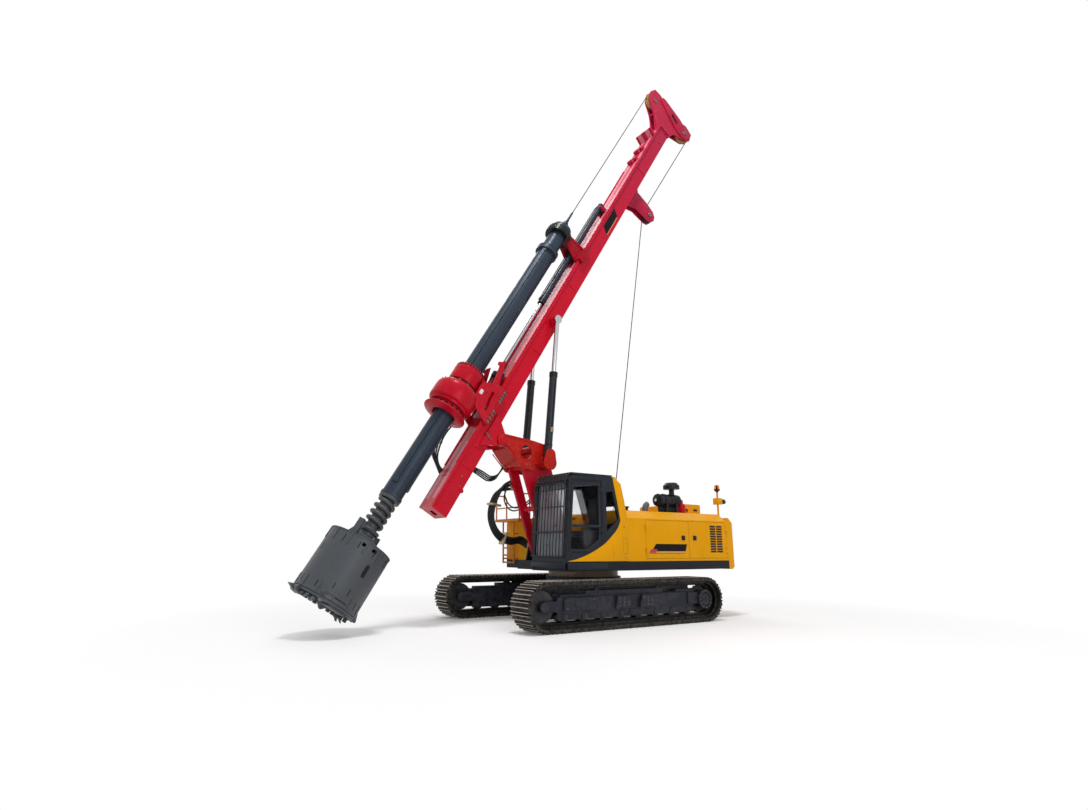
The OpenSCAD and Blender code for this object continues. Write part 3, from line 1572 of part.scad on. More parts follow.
// Rope over the crown and down to the guide pulley
module rope_crown() {
    front_top = mast_point(kelly_t - sheave_r, front_sheave_s + sheave_r);
    rear_top = mast_point(rear_sheave_t, rear_sheave_s + sheave_r);
    rear_side = mast_point(rear_sheave_t - sheave_r, rear_sheave_s);
    guide_side = mast_point(guide_t + guide_r + rope_r, guide_s);
    color([0.2, 0.2, 0.22]) {
        on_mast() {
            translate([kelly_t - sheave_r, 0, front_sheave_s]) rotate([90, 0, 0])
                rotate_extrude(angle = 90) translate([sheave_r, 0]) circle(rope_r, $fn = 16);
            translate([rear_sheave_t, 0, rear_sheave_s]) rotate([90, 0, 0]) rotate([0, 0, 90])
                rotate_extrude(angle = 90) translate([sheave_r, 0]) circle(rope_r, $fn = 16);
            translate([guide_t, 0, guide_s]) rotate([90, 0, 0]) rotate([0, 0, -leave_angle])
                rotate_extrude(angle = leave_angle) translate([guide_r + rope_r, 0]) circle(rope_r, $fn = 16);
        }
        rope_between(front_top, rear_top);
        rope_between(rear_side, guide_side);
        for (q = [front_top, rear_top, rear_side, guide_side])
            translate([q[0], 0, q[1]]) sphere(rope_r * rope_joint_share, $fn = 16);
    }
}

module rope_tail() {
    color([0.2, 0.2, 0.22]) rope_between(rope_leave, rope_low);
}

track_left();
track_right();
track_frame_left();
track_frame_right();
sprockets();
idlers();
rollers();
carbody();
slew_ring();
platform();
counterweight();
hood();
door_left_front();
door_left_rear();
door_right_front();
door_right_rear();
engine_block();
air_cleaner();
exhaust();
roof_box();
beacon_post();
side_box();
ladder();
cab_shell();
cab_glass();
cab_door();
door_glass();
cab_guard();
seat();
winch_frame();
winch_drum();
luff_arm();
front_link();
triangle();
luff_barrel();
luff_rod();
mast_barrels();
mast_rods();
mast();
crown();
sheave_front();
sheave_rear();
guide_bracket();
sheave_guide();
crowd_barrel();
crowd_rod();
rotary_head();
head_sled();
head_motors();
drive_sleeve();
kelly_bar();
kelly_foot();
kelly_guide();
kelly_swivel();
bucket_shell();
bucket_floor();
rope_kelly();
rope_crown();
rope_tail();
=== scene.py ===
import json
from math import atan2, cos, pi, radians, sin

import bmesh
import bpy
from mathutils import Matrix, Vector


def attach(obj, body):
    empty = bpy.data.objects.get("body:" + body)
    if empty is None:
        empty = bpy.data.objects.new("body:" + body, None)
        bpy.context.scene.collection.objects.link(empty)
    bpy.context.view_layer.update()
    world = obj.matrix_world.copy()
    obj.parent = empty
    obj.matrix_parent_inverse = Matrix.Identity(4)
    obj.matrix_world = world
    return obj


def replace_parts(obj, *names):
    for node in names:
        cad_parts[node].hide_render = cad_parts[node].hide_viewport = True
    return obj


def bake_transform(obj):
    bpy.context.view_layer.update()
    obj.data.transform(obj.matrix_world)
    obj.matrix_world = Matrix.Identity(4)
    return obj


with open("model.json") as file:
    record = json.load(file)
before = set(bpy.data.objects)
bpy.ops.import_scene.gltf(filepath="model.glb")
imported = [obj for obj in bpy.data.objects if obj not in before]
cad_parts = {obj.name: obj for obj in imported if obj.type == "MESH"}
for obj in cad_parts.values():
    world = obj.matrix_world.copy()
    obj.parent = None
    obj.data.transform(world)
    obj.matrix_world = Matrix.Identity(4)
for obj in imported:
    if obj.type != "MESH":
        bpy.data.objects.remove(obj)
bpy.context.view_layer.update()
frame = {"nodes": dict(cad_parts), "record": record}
NODES = frame["nodes"]
scene = bpy.context.scene

# Frames: the machine's axes, and the mast's own frame, which leans back about its pivot

X, Y, Z = Vector((1, 0, 0)), Vector((0, 1, 0)), Vector((0, 0, 1))
LEAN = radians(32)
PIVOT = Vector((2.3, 0, 3.7))
MT = Vector((cos(LEAN), 0, sin(LEAN)))
MU = Vector((-sin(LEAN), 0, cos(LEAN)))
KT = 1.289  # how far the kelly stands ahead of the mast's pivot


def mast(t, y, s):
    """A point of the mast's own frame, t ahead of the pivot and s up the mast, in the machine frame."""
    return PIVOT + MT * t + Y * y + MU * s


def basis(x, y, z, o=(0, 0, 0)):
    m = Matrix((Vector(x), Vector(y), Vector(z))).transposed().to_4x4()
    m.translation = Vector(o)
    return m


def at(x, y, z):
    return Matrix.Translation(Vector((x, y, z)))


def spin(m, a):
    return m @ Matrix.Rotation(a, 4, "Z")


def facing(o, normal):
    """A frame at o whose Z is the normal."""
    z = Vector(normal).normalized()
    x = (X if abs(z.z) > 0.95 else Z).cross(z).normalized()
    return basis(x, z.cross(x), z, o)


ID = Matrix.Identity(4)
MAST = basis(MT, Y, MU, PIVOT)
KELLY = basis(MT, Y, MU, mast(KT, 0, 0))
SIDE = basis(X, Z, Y)
MSIDE = basis(MT, MU, Y, PIVOT)
OUTWARD = basis(Y, Z, X)


def turned(degrees):
    """The kelly's frame, turned about its own axis."""
    return spin(KELLY, radians(degrees))


def across(o, s=1):
    """A frame at a point of the mast, whose Z points to the left for s 1 and to the right for s -1."""
    return basis(MT, MU, Y * s, o)


def sided(s, a, b):
    """The span from a to b out from the middle plane, on the left for s 1 and on the right for s -1."""
    return (a, b) if s > 0 else (-b, -a)


# Camera, solved from the photograph's tracks, deck and cab

IMAGE_W, FOCAL_PX, SENSOR = 1088, 633.633, 36.0
CAMERA_AT = (9.228, 11.289, 1.488)
HEADING, CLIMB, ROLL = radians(238.03), radians(11.671), radians(0.212)
SHIFT = (0.0403, 0.0117)


def add_camera():
    data = bpy.data.cameras.new("camera")
    cam = bpy.data.objects.new("camera", data)
    scene.collection.objects.link(cam)
    data.sensor_fit, data.sensor_width = "HORIZONTAL", SENSOR
    data.lens = SENSOR * FOCAL_PX / IMAGE_W
    data.shift_x, data.shift_y = SHIFT
    data.clip_end = 400
    data.dof.use_dof = False
    ahead = Vector((cos(HEADING) * cos(CLIMB), sin(HEADING) * cos(CLIMB), sin(CLIMB)))
    right = ahead.cross(Z).normalized()
    up = right.cross(ahead)
    cam.matrix_world = basis(right * cos(ROLL) + up * sin(ROLL), up * cos(ROLL) - right * sin(ROLL), -ahead, CAMERA_AT)
    scene.camera = cam


add_camera()

# Materials


class Shader:
    """A node tree, with short ways to add the nodes that the materials use."""

    def __init__(self, tree):
        self.tree = tree

    def node(self, kind, **settings):
        n = self.tree.nodes.new("ShaderNode" + kind)
        for key, value in settings.items():
            setattr(n, key, value)
        return n

    def feed(self, socket, value):
        """Link an output to a socket, or set a number, a vector or a colour on it."""
        if isinstance(value, bpy.types.NodeSocket):
            self.tree.links.new(value, socket)
        else:
            socket.default_value = (*value, 1) if isinstance(value, tuple) else value

    def put(self, node, **values):
        """Feed a node's inputs by name, with _ for a space."""
        for key, value in values.items():
            self.feed(node.inputs[key.replace("_", " ")], value)
        return node

    def join(self, kind, *values, **settings):
        """A node whose inputs are fed in order."""
        n = self.node(kind, **settings)
        for socket, value in zip(n.inputs, values):
            self.feed(socket, value)
        return n

    def math(self, op, *values):
        return self.join("Math", *values, operation=op).outputs[0]

    def times(self, a, b):
        return self.math("MULTIPLY", a, b)

    def ramp(self, source, *stops):
        """A ramp between two pairs of place and grey."""
        r = self.put(self.node("ValToRGB"), Fac=source)
        for element, (place, grey) in zip(r.color_ramp.elements, stops):
            element.position, element.color = place, (grey, grey, grey, 1)
        return r.outputs["Color"]

    def mix(self, share, a, b):
        m = self.put(self.node("Mix", data_type="RGBA"), Factor=share)
        self.feed(m.inputs[6], a)
        self.feed(m.inputs[7], b)
        return m.outputs[2]

    def noise(self, place, scale, detail, rough):
        n = self.put(self.node("TexNoise"), Vector=place, Scale=scale, Detail=detail, Roughness=rough)
        return n.outputs["Fac"]

    def span(self, source, low, high, to_low=0.0, to_high=1.0):
        m = self.put(self.node("MapRange"), Value=source, From_Min=low, From_Max=high, To_Min=to_low, To_Max=to_high)
        return m.outputs["Result"]

    def height(self, vector):
        return self.join("SeparateXYZ", vector).outputs["Z"]


def new_material(name):
    mat = bpy.data.materials.new(name)
    mat.use_nodes = True
    g = Shader(mat.node_tree)
    return mat, g, mat.node_tree.nodes["Principled BSDF"], g.node("TexCoord").outputs["Object"]


# The two paler bands on the mast's front are painted sheen, a pink standing in for the sky's reflection on that face:
# across it, ahead of the pivot, and up the mast
SHEEN_Y, SHEEN_T, SHEEN_S = (0.07, 0.205), 0.5985, ((1.75, 10.6), (-1.85, -0.45))


def painted_sheen_mask(g, coord):
    """1 on the painted sheen, the two paler bands of the mast's front, and 0 elsewhere."""
    place = g.join("VectorMath", coord, PIVOT, operation="SUBTRACT").outputs[0]
    ahead, aside, up = (g.join("VectorMath", place, way, operation="DOT_PRODUCT").outputs["Value"]
                        for way in (MT, Y, MU))

    def between(value, span):
        return g.times(g.math("GREATER_THAN", value, span[0]), g.math("LESS_THAN", value, span[1]))

    lengths = g.math("MAXIMUM", *(between(up, span) for span in SHEEN_S))
    strip = g.times(between(g.math("ABSOLUTE", aside), SHEEN_Y), g.math("GREATER_THAN", ahead, SHEEN_T))
    return g.times(strip, lengths)


TINT_Z = (6.5, 13.0)  # the heights between which a paint takes on its tint


def surface(name, rgb, rough=0.45, metal=0.0, var=0.10, dust_and_top_light=0.0, dust_and_top_light_rgb=(0.42, 0.36, 0.28), wear=0.0,
            wear_rgb=(0.5, 0.5, 0.5), grain=60.0, bump=0.05, coat=0.0, streak=0.0, rough_var=0.12, low=0.0,
            spec=0.35, tint=None, painted_sheen_rgb=None):
    """A painted or bare metal: colour that varies, dust on what faces up (on the yellow, painted top light), streaks,
    worn edges and a fine bump.
    """
    mat, g, bsdf, coord = new_material(name)
    geo = g.node("NewGeometry").outputs
    mid = g.noise(coord, 11.0, 6.0, 0.62)
    dark = tuple(max(0.0, c * (1 - 1.6 * var)) for c in rgb)
    light = tuple(min(1.0, c * (1 + 1.2 * var) + 0.01 * var) for c in rgb)
    col = g.mix(g.ramp(g.noise(coord, 1.7, 5.0, 0.6), (0.3, 0), (0.7, 1)), dark, light)
    col = g.mix(g.times(g.ramp(mid, (0.42, 0), (0.78, 1)), 0.22), col, dark)
    if streak:
        drawn = g.put(g.node("Mapping"), Vector=coord, Scale=Vector((14.0, 14.0, 0.7))).outputs["Vector"]
        run = g.ramp(g.noise(drawn, 1.0, 5.0, 0.6), (0.52, 0), (0.75, 1))
        col = g.mix(g.times(run, streak), col, tuple(c * 0.55 + 0.02 for c in rgb))
    # Dust on what faces up; where its colour is a paler tone of the paint itself, as on the yellow, this is painted top
    # light.
    if dust_and_top_light:
        up = g.ramp(g.height(geo["Normal"]), (0.35, 0), (0.95, 1))
        amount = g.times(up, g.ramp(mid, (0.3, 0.25), (0.7, 1)))
        col = g.mix(g.times(amount, dust_and_top_light), col, dust_and_top_light_rgb)
    if low:
        mud = g.times(g.ramp(g.height(coord), (0.05, 1), (0.9, 0)), g.ramp(mid, (0.35, 0), (0.65, 1)))
        col = g.mix(g.times(mud, low), col, dust_and_top_light_rgb)
    # With height the colour turns to the tint; on the mast this darkens the red towards the top.
    if tint:
        col = g.mix(g.times(g.span(g.height(coord), *TINT_Z), 0.85), col, tint)
    # Painted sheen: a paler pink on the bands of the mast's front, standing in for a reflection.
    if painted_sheen_rgb:
        col = g.mix(painted_sheen_mask(g, coord), col, painted_sheen_rgb)
    if wear:
        edge = g.ramp(geo["Pointiness"], (0.515, 0), (0.58, 1))
        chips = g.times(edge, g.ramp(mid, (0.38, 0), (0.62, 1)))
        col = g.mix(g.times(chips, wear), col, wear_rgb)
    relief = g.put(g.node("Bump"), Strength=bump, Distance=0.01, Height=g.noise(coord, grain, 3.0, 0.6))
    g.put(bsdf, Base_Color=col, Metallic=metal, Specular_IOR_Level=spec, Normal=relief.outputs["Normal"],
          Roughness=g.span(mid, 0.3, 0.7, max(0.03, rough - rough_var), min(1.0, rough + rough_var)))
    if coat:
        g.put(bsdf, Coat_Weight=coat, Coat_Roughness=0.12)
    return mat


def glass(name, rgb, alpha, through=1.0):
    mat, g, bsdf, coord = new_material(name)
    film = g.noise(coord, 5.0, 5.0, 0.6)
    col = g.mix(g.ramp(film, (0.35, 0), (0.7, 1)), rgb, tuple(c * 0.8 for c in rgb))
    g.put(bsdf, Base_Color=col, Roughness=g.span(film, 0.0, 1.0, 0.02, 0.1), IOR=1.15, Transmission_Weight=through,
          Alpha=alpha)
    return mat


MAST_PAINT = dict(rgb=(0.58, 0.003, 0.020), rough=0.32, var=0.04, wear=0.10, wear_rgb=(0.62, 0.06, 0.08), coat=0.05,
                  streak=0.05, bump=0.012, spec=0.12, tint=(0.40, 0.005, 0.048))
RED = surface("red_paint", **MAST_PAINT)
# The mast's own red, with painted sheen on its front.
MAST_RED_SHEEN = surface("mast_red_sheen", **MAST_PAINT, painted_sheen_rgb=(0.72, 0.20, 0.27))
CROWN_RED = surface("crown_red", (0.44, 0.006, 0.045), 0.36, var=0.06, wear=0.15, wear_rgb=(0.6, 0.12, 0.15), coat=0.04,
                    bump=0.015, spec=0.10)
HEAD_RED = surface("head_red", (0.52, 0.003, 0.018), 0.32, var=0.06, wear=0.14, wear_rgb=(0.6, 0.08, 0.09), coat=0.06,
                   streak=0.06, bump=0.015, spec=0.10)
ORANGE_RED = surface("orange_red", (0.52, 0.010, 0.006), 0.32, var=0.05, wear=0.12, wear_rgb=(0.7, 0.14, 0.08),
                     coat=0.05, bump=0.012, spec=0.10)
DEEP_RED = surface("deep_red", (0.36, 0.004, 0.016), 0.40, var=0.08, wear=0.12, wear_rgb=(0.5, 0.08, 0.10), bump=0.02,
                   spec=0.10)
# On the yellow, the paler yellow laid on what faces up is painted top light.
YELLOW = surface("yellow_paint", (0.82, 0.36, 0.002), 0.34, var=0.03, wear=0.10, wear_rgb=(0.85, 0.52, 0.12), coat=0.02,
                 dust_and_top_light=0.05, dust_and_top_light_rgb=(0.90, 0.56, 0.10), streak=0.04, bump=0.01, spec=0.05)
WALK_ORANGE = surface("walk_orange", (0.66, 0.21, 0.006), 0.46, var=0.08, wear=0.3, wear_rgb=(0.4, 0.3, 0.2), dust_and_top_light=0.12,
                      bump=0.03)
CHARCOAL = surface("charcoal_paint", (0.014, 0.016, 0.021), 0.40, var=0.10, wear=0.12, wear_rgb=(0.08, 0.08, 0.09),
                   coat=0.03, dust_and_top_light=0.05, dust_and_top_light_rgb=(0.10, 0.10, 0.10), bump=0.015, spec=0.10)
CAB_GREY = surface("cab_grey", (0.014, 0.018, 0.026), 0.38, var=0.08, wear=0.12, wear_rgb=(0.09, 0.10, 0.11), coat=0.04,
                   dust_and_top_light=0.05, dust_and_top_light_rgb=(0.10, 0.10, 0.105), bump=0.015, spec=0.12)
FRAME_BLUE = surface("frame_blue", (0.022, 0.023, 0.034), 0.44, var=0.10, wear=0.25, wear_rgb=(0.12, 0.12, 0.14),
                     dust_and_top_light=0.12, dust_and_top_light_rgb=(0.11, 0.105, 0.10), low=0.06, bump=0.03, streak=0.08, spec=0.12)
SHOE = surface("shoe_steel", (0.017, 0.0155, 0.014), 0.52, metal=0.15, var=0.16, wear=0.18,
               wear_rgb=(0.26, 0.235, 0.21), dust_and_top_light=0.06, dust_and_top_light_rgb=(0.12, 0.105, 0.09), low=0.02, grain=90.0, bump=0.12,
               spec=0.12)
TIP = surface("shoe_tip", (0.50, 0.44, 0.37), 0.42, metal=0.6, var=0.25, grain=120.0, bump=0.12)
LINK = surface("link_steel", (0.012, 0.0115, 0.011), 0.48, metal=0.2, var=0.2, wear=0.3, wear_rgb=(0.12, 0.11, 0.10),
               bump=0.1, spec=0.12)
WHEEL = surface("wheel_steel", (0.020, 0.020, 0.023), 0.46, metal=0.35, var=0.15, wear=0.35,
                wear_rgb=(0.16, 0.155, 0.15), dust_and_top_light=0.08, dust_and_top_light_rgb=(0.09, 0.08, 0.07), bump=0.08)
RING = surface("ring_steel", (0.20, 0.135, 0.085), 0.46, metal=0.4, var=0.18, wear=0.3, wear_rgb=(0.4, 0.35, 0.29),
               dust_and_top_light=0.1, bump=0.08)
BLACK = surface("black_paint", (0.010, 0.011, 0.014), 0.30, var=0.12, wear=0.10, wear_rgb=(0.08, 0.08, 0.09), coat=0.06,
                bump=0.012, spec=0.15)
GUARD = surface("guard_paint", (0.011, 0.011, 0.013), 0.38, var=0.12, wear=0.15, wear_rgb=(0.10, 0.10, 0.10), bump=0.02,
                spec=0.3)
RUBBER = surface("hose_rubber", (0.006, 0.006, 0.007), 0.46, var=0.2, grain=140.0, bump=0.08, spec=0.3)
IRON = surface("engine_iron", (0.12, 0.12, 0.13), 0.6, metal=0.4, var=0.2, bump=0.2)
CHROME = surface("rod_chrome", (0.50, 0.50, 0.53), 0.12, metal=1.0, var=0.05, rough_var=0.05, grain=200.0, bump=0.01)
BRASS = surface("sheave_brass", (0.46, 0.27, 0.07), 0.42, metal=0.4, var=0.15, wear=0.3, wear_rgb=(0.6, 0.48, 0.32),
                bump=0.05)
KELLY_GREY = surface("kelly_steel", (0.034, 0.048, 0.068), 0.36, metal=0.15, var=0.08, wear=0.10,
                     wear_rgb=(0.16, 0.19, 0.22), bump=0.02, streak=0.06, spec=0.12)
FEED_BLUE = surface("feed_blue", (0.022, 0.032, 0.046), 0.32, var=0.08, coat=0.08, bump=0.01, spec=0.15)
BARREL = surface("barrel_blue", (0.020, 0.024, 0.031), 0.34, var=0.08, wear=0.08, wear_rgb=(0.10, 0.11, 0.12),
                 coat=0.06, bump=0.012, spec=0.15)
SPRING = surface("spring_steel", (0.062, 0.068, 0.070), 0.42, metal=0.25, var=0.10, wear=0.2,
                 wear_rgb=(0.2, 0.2, 0.195), bump=0.04)
BUCKET = surface("bucket_steel", (0.066, 0.073, 0.082), 0.44, metal=0.2, var=0.012, wear=0.04,
                 wear_rgb=(0.20, 0.21, 0.22), streak=0.015, bump=0.008, grain=40.0, rough_var=0.03)
ROPE = surface("rope_steel", (0.016, 0.016, 0.018), 0.55, metal=0.2, var=0.2, bump=0.1, spec=0.15)
BOLT = surface("bolt_steel", (0.10, 0.09, 0.078), 0.40, metal=0.7, var=0.2, wear=0.5, wear_rgb=(0.42, 0.38, 0.31),
               bump=0.06)
ZINC = surface("clamp_zinc", (0.48, 0.41, 0.24), 0.4, metal=0.5, var=0.15, bump=0.04)
GASKET = surface("gasket_rubber", (0.011, 0.011, 0.012), 0.55, var=0.2, bump=0.08)
FABRIC = surface("seat_fabric", (0.045, 0.047, 0.055), 0.85, var=0.2, grain=350.0, bump=0.3)
WHITE = surface("blank_plate", (0.75, 0.75, 0.73), 0.45, var=0.04, bump=0.02)
STRIPE_BLACK = surface("stripe_black", (0.008, 0.008, 0.009), 0.45, var=0.1, bump=0.015, spec=0.06)
STRIPE_RED = surface("stripe_red", (0.50, 0.014, 0.016), 0.36, var=0.06, bump=0.015, coat=0.4)
STRIPE_TAN = surface("stripe_tan", (0.60, 0.34, 0.11), 0.38, var=0.06, bump=0.015, coat=0.3)
LENS = surface("lamp_lens", (0.78, 0.80, 0.80), 0.12, var=0.06, bump=0.03, coat=0.5)
PANEL = surface("panel_plastic", (0.05, 0.05, 0.055), 0.6, var=0.2, grain=300.0, bump=0.15)
HANDLE_RED = surface("knob_red", (0.55, 0.02, 0.02), 0.4, var=0.1, bump=0.03)
GLASS = glass("window_glass", (0.72, 0.78, 0.80), 0.22)
HAZE = glass("windshield_haze", (0.50, 0.56, 0.62), 0.42, 0.0)
AMBER = glass("amber_lens", (0.95, 0.26, 0.02), 0.92)
# A dark brown-black that fills the hood's louvre slits: painted shade in the openings.
LOUVRE_SHADE = surface("louvre_painted_shade", (0.028, 0.011, 0.004), 0.7, var=0.3, bump=0.1)
# Near-black for holes, slots, grooves and gaps: painted shade.
PAINTED_SHADE = surface("painted_shade_dark", (0.008, 0.008, 0.009), 0.8, var=0.2, bump=0.1)

SLOTS = {
    "red_paint": RED, "orange_red_paint": ORANGE_RED, "yellow_paint": YELLOW, "charcoal_paint": CHARCOAL,
    "frame_paint": FRAME_BLUE, "shoe_steel": SHOE, "wheel_steel": WHEEL, "ring_steel": RING, "black_paint": BLACK,
    "orange_paint": WALK_ORANGE, "engine_iron": IRON, "window_glass": GLASS, "seat_fabric": FABRIC,
    "rod_chrome": CHROME, "sheave_steel": BRASS, "kelly_steel": KELLY_GREY, "bucket_steel": BUCKET, "rope_steel": ROPE,
}
OWN = {
    "mast": MAST_RED_SHEEN, "crown": CROWN_RED, "guide_bracket": CROWN_RED, "rotary_head": HEAD_RED, "head_sled": HEAD_RED,
    "drive_sleeve": HEAD_RED, "cab_shell": CAB_GREY, "cab_door": CAB_GREY, "cab_guard": GUARD, "kelly_foot": SPRING,
    "kelly_guide": DEEP_RED, "winch_frame": DEEP_RED, "crowd_barrel": FEED_BLUE, "mast_barrels": BARREL,
    "luff_barrel": BARREL,
}
for part in frame["record"]["subparts"]:
    obj = NODES[part["node"]]
    obj.data.materials.clear()
    obj.data.materials.append(OWN.get(part["node"], SLOTS[part["material_slot"]]))

# Mesh building


def hexagon(r):
    return [(r * cos(pi / 3 * i), r * sin(pi / 3 * i)) for i in range(6)]


class Piece:
    """One scene object, built up from bevelled boxes, prisms, turned forms and tubes."""

    def __init__(self, name, body, mat, slot=None):
        self.name, self.body, self.mat, self.slot = name, body, mat, slot
        self.bm = bmesh.new()

    def _add(self, part, m, bevel=0.0, segments=2):
        if bevel:
            edges = [e for e in part.edges if len(e.link_faces) == 2 and e.calc_face_angle(0) > 0.5]
            bmesh.ops.bevel(part, geom=edges, offset=bevel, segments=segments, affect="EDGES", profile=0.6,
                            clamp_overlap=True)
        part.transform(m)
        if m.to_3x3().determinant() < 0:
            bmesh.ops.reverse_faces(part, faces=part.faces)
        me = bpy.data.meshes.new("tmp")
        part.to_mesh(me)
        part.free()
        self.bm.from_mesh(me)
        bpy.data.meshes.remove(me)
        return self

    def box(self, lo, hi, bevel=0.004, m=ID, segments=2):
        lo, hi = Vector(lo), Vector(hi)
        part = bmesh.new()
        bmesh.ops.create_cube(part, size=1.0)
        part.transform(Matrix.Translation((lo + hi) / 2) @ Matrix.Diagonal((*(hi - lo), 1)))
        return self._add(part, m, bevel, segments)

    def boxes(self, bevel, m, *corners):
        """Boxes with one bevel and frame, each given as two corners in one row of six numbers."""
        for c in corners:
            self.box(c[:3], c[3:], bevel, m)
        return self

    def prism(self, outline, h0, h1, m=ID, bevel=0.0, holes=()):
        """Outline points in the frame's X and Y, drawn out along its Z from h0 to h1. Holes are closed rings."""
        part = bmesh.new()
        loops = [[part.verts.new((x, y, h0)) for x, y in points] for points in (outline, *holes)]
        if holes:
            edges = [part.edges.new(pair) for vs in loops for pair in zip(vs, vs[1:] + vs[:1])]
            bmesh.ops.triangle_fill(part, use_beauty=True, use_dissolve=False, edges=edges)
        else:
            part.faces.new(loops[0])
        for f in part.faces:
            f.normal_update()
            if f.normal.z > 0:
                f.normal_flip()
        got = bmesh.ops.extrude_face_region(part, geom=part.faces[:])
        top = [v for v in got["geom"] if isinstance(v, bmesh.types.BMVert)]
        bmesh.ops.translate(part, verts=top, vec=(0, 0, h1 - h0))
        bmesh.ops.recalc_face_normals(part, faces=part.faces)
        return self._add(part, m, bevel)

    def lathe(self, profile, m=ID, seg=40):
        """Radius and height pairs, turned about the frame's Z."""
        part = bmesh.new()
        turns = [2 * pi * i / seg for i in range(seg)]
        rows = []
        for r, h in profile:
            if r < 1e-6:
                rows.append([part.verts.new((0, 0, h))] * seg)
            else:
                rows.append([part.verts.new((r * cos(a), r * sin(a), h)) for a in turns])
        for a, b in zip(rows, rows[1:]):
            for i in range(seg):
                j = (i + 1) % seg
                corners = list(dict.fromkeys((a[i], a[j], b[j], b[i])))
                if len(corners) >= 3:
                    part.faces.new(corners)
        bmesh.ops.recalc_face_normals(part, faces=part.faces)
        return self._add(part, m)

    def tube(self, points, r, seg=10, m=ID):
        """A round tube along the points, with one radius, or a list with one for each point."""
        part = bmesh.new()
        pts = [Vector(p) for p in points]
        normal, rings = None, []
        for i, p in enumerate(pts):
            along = (pts[min(i + 1, len(pts) - 1)] - pts[max(i - 1, 0)]).normalized()
            if normal is None:
                normal = (Z if abs(along.z) < 0.9 else X).cross(along).normalized()
            normal = (normal - along * normal.dot(along)).normalized()
            side = along.cross(normal)
            radius = r[i] if isinstance(r, list) else r
            rings.append([part.verts.new(p + (normal * cos(k) + side * sin(k)) * radius)
                          for k in (2 * pi * q / seg for q in range(seg))])
        for a, b in zip(rings, rings[1:]):
            for k in range(seg):
                part.faces.new((a[k], a[(k + 1) % seg], b[(k + 1) % seg], b[k]))
        part.faces.new(rings[0][::-1])
        part.faces.new(rings[-1])
        bmesh.ops.recalc_face_normals(part, faces=part.faces)
        return self._add(part, m)

    def bolt(self, o, normal, r=0.014, h=0.012):
        """A hex head on a washer."""
        m = facing(o, normal)
        self.lathe([(0, 0), (r * 1.35, 0), (r * 1.35, h * 0.22), (r, h * 0.22)], m, 16)
        return self.prism(hexagon(r), h * 0.2, h, m, r * 0.12)

    def bolt_ring(self, o, ways, radius, count, normal, r, h, phase=0.0):
        """Bolts on a circle about o, in the plane of two ways."""
        for i in range(count):
            a = 2 * pi * i / count + phase
            self.bolt(Vector(o) + (ways[0] * cos(a) + ways[1] * sin(a)) * radius, normal, r, h)

    def done(self, angle=35):
        me = bpy.data.meshes.new(self.name)
        self.bm.to_mesh(me)
        self.bm.free()
        me.materials.append(self.mat)
        for p in me.polygons:
            p.use_smooth = True
        me.set_sharp_from_angle(angle=radians(angle))
        o = bpy.data.objects.new(self.name, me)
        scene.collection.objects.link(o)
        if isinstance(self.body, tuple):
            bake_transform(o)
        else:
            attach(o, self.body)
        return o


def spline(points, per=8):
    """Catmull-Rom points through the given ones."""
    p = [Vector(q) for q in points]
    p = [p[0] * 2 - p[1]] + p + [p[-1] * 2 - p[-2]]
    out = []
    for i in range(1, len(p) - 2):
        a, b, c, d = p[i - 1:i + 3]
        for k in range(per):
            t = k / per
            out.append(0.5 * ((2 * b) + (c - a) * t + (2 * a - 5 * b + 4 * c - d) * t * t
                              + (3 * b - a - 3 * c + d) * t ** 3))
    out.append(p[-2])
    return out


def arc(cx, cy, r, a0, a1, n):
    turns = [radians(a0 + (a1 - a0) * i / n) for i in range(n + 1)]
    return [(cx + r * cos(a), cy + r * sin(a)) for a in turns]


def rounded(x0, y0, x1, y1, r, n=5):
    return (arc(x1 - r, y1 - r, r, 0, 90, n) + arc(x0 + r, y1 - r, r, 90, 180, n)
            + arc(x0 + r, y0 + r, r, 180, 270, n) + arc(x1 - r, y0 + r, r, 270, 360, n))


def grow(poly, d):
    """A convex ring of points moved out by d."""
    pairs = list(zip(poly, poly[1:] + poly[:1]))
    sign = 1 if sum(p[0] * q[1] - q[0] * p[1] for p, q in pairs) > 0 else -1
    out = []
    for before, (here, after) in zip(poly[-1:] + poly[:-1], pairs):
        p0, p1, p2 = Vector(before), Vector(here), Vector(after)
        a, b = (p1 - p0).normalized(), (p2 - p1).normalized()
        na, nb = Vector((a.y, -a.x)) * sign, Vector((b.y, -b.x)) * sign
        out.append(tuple(p1 + (na + nb) / (1 + na.dot(nb)) * d))
    return out


def ring(r, h0, h1, inner):
    return [(inner, h0), (r, h0), (r, h1), (inner, h1), (inner, h0)]


def disc(r, h0, h1, edge=0.004):
    return [(0, h0), (r, h0), (r, h1 - edge), (r - edge, h1), (0, h1)]


# Cab

SKIN = 1.4985  # just inside the cab's left face
LIP_Y, RIM_Y = 1.506, 1.512  # how far the windows' rubber and the rim stand out
PANEL_Y = 1.5075  # the yellow side panel's face
MARK_Y = PANEL_Y - 0.0001


def pane(*shares):
    """A window's outline, by shares of the cab's length and height."""
    return [(0.1 + a * 1.55, 1.245 + b * 1.69) for a, b in shares]


def gasket(p, outline, width, h0, h1):
    return p.prism(grow(outline, width), h0, h1, SIDE, 0.0025, [grow(outline, -0.004)])


PANE = pane((0.922, 0.14), (0.85, 0.85), (0.44, 0.89), (0.452, 0.25), (0.655, 0.135))
QUARTER = pane((0.318, 0.33), (0.32, 0.815), (0.2, 0.83), (0.105, 0.5))
RIGHT_PANE = pane((0.9, 0.3), (0.85, 0.88), (0.25, 0.88), (0.12, 0.5), (0.2, 0.3))

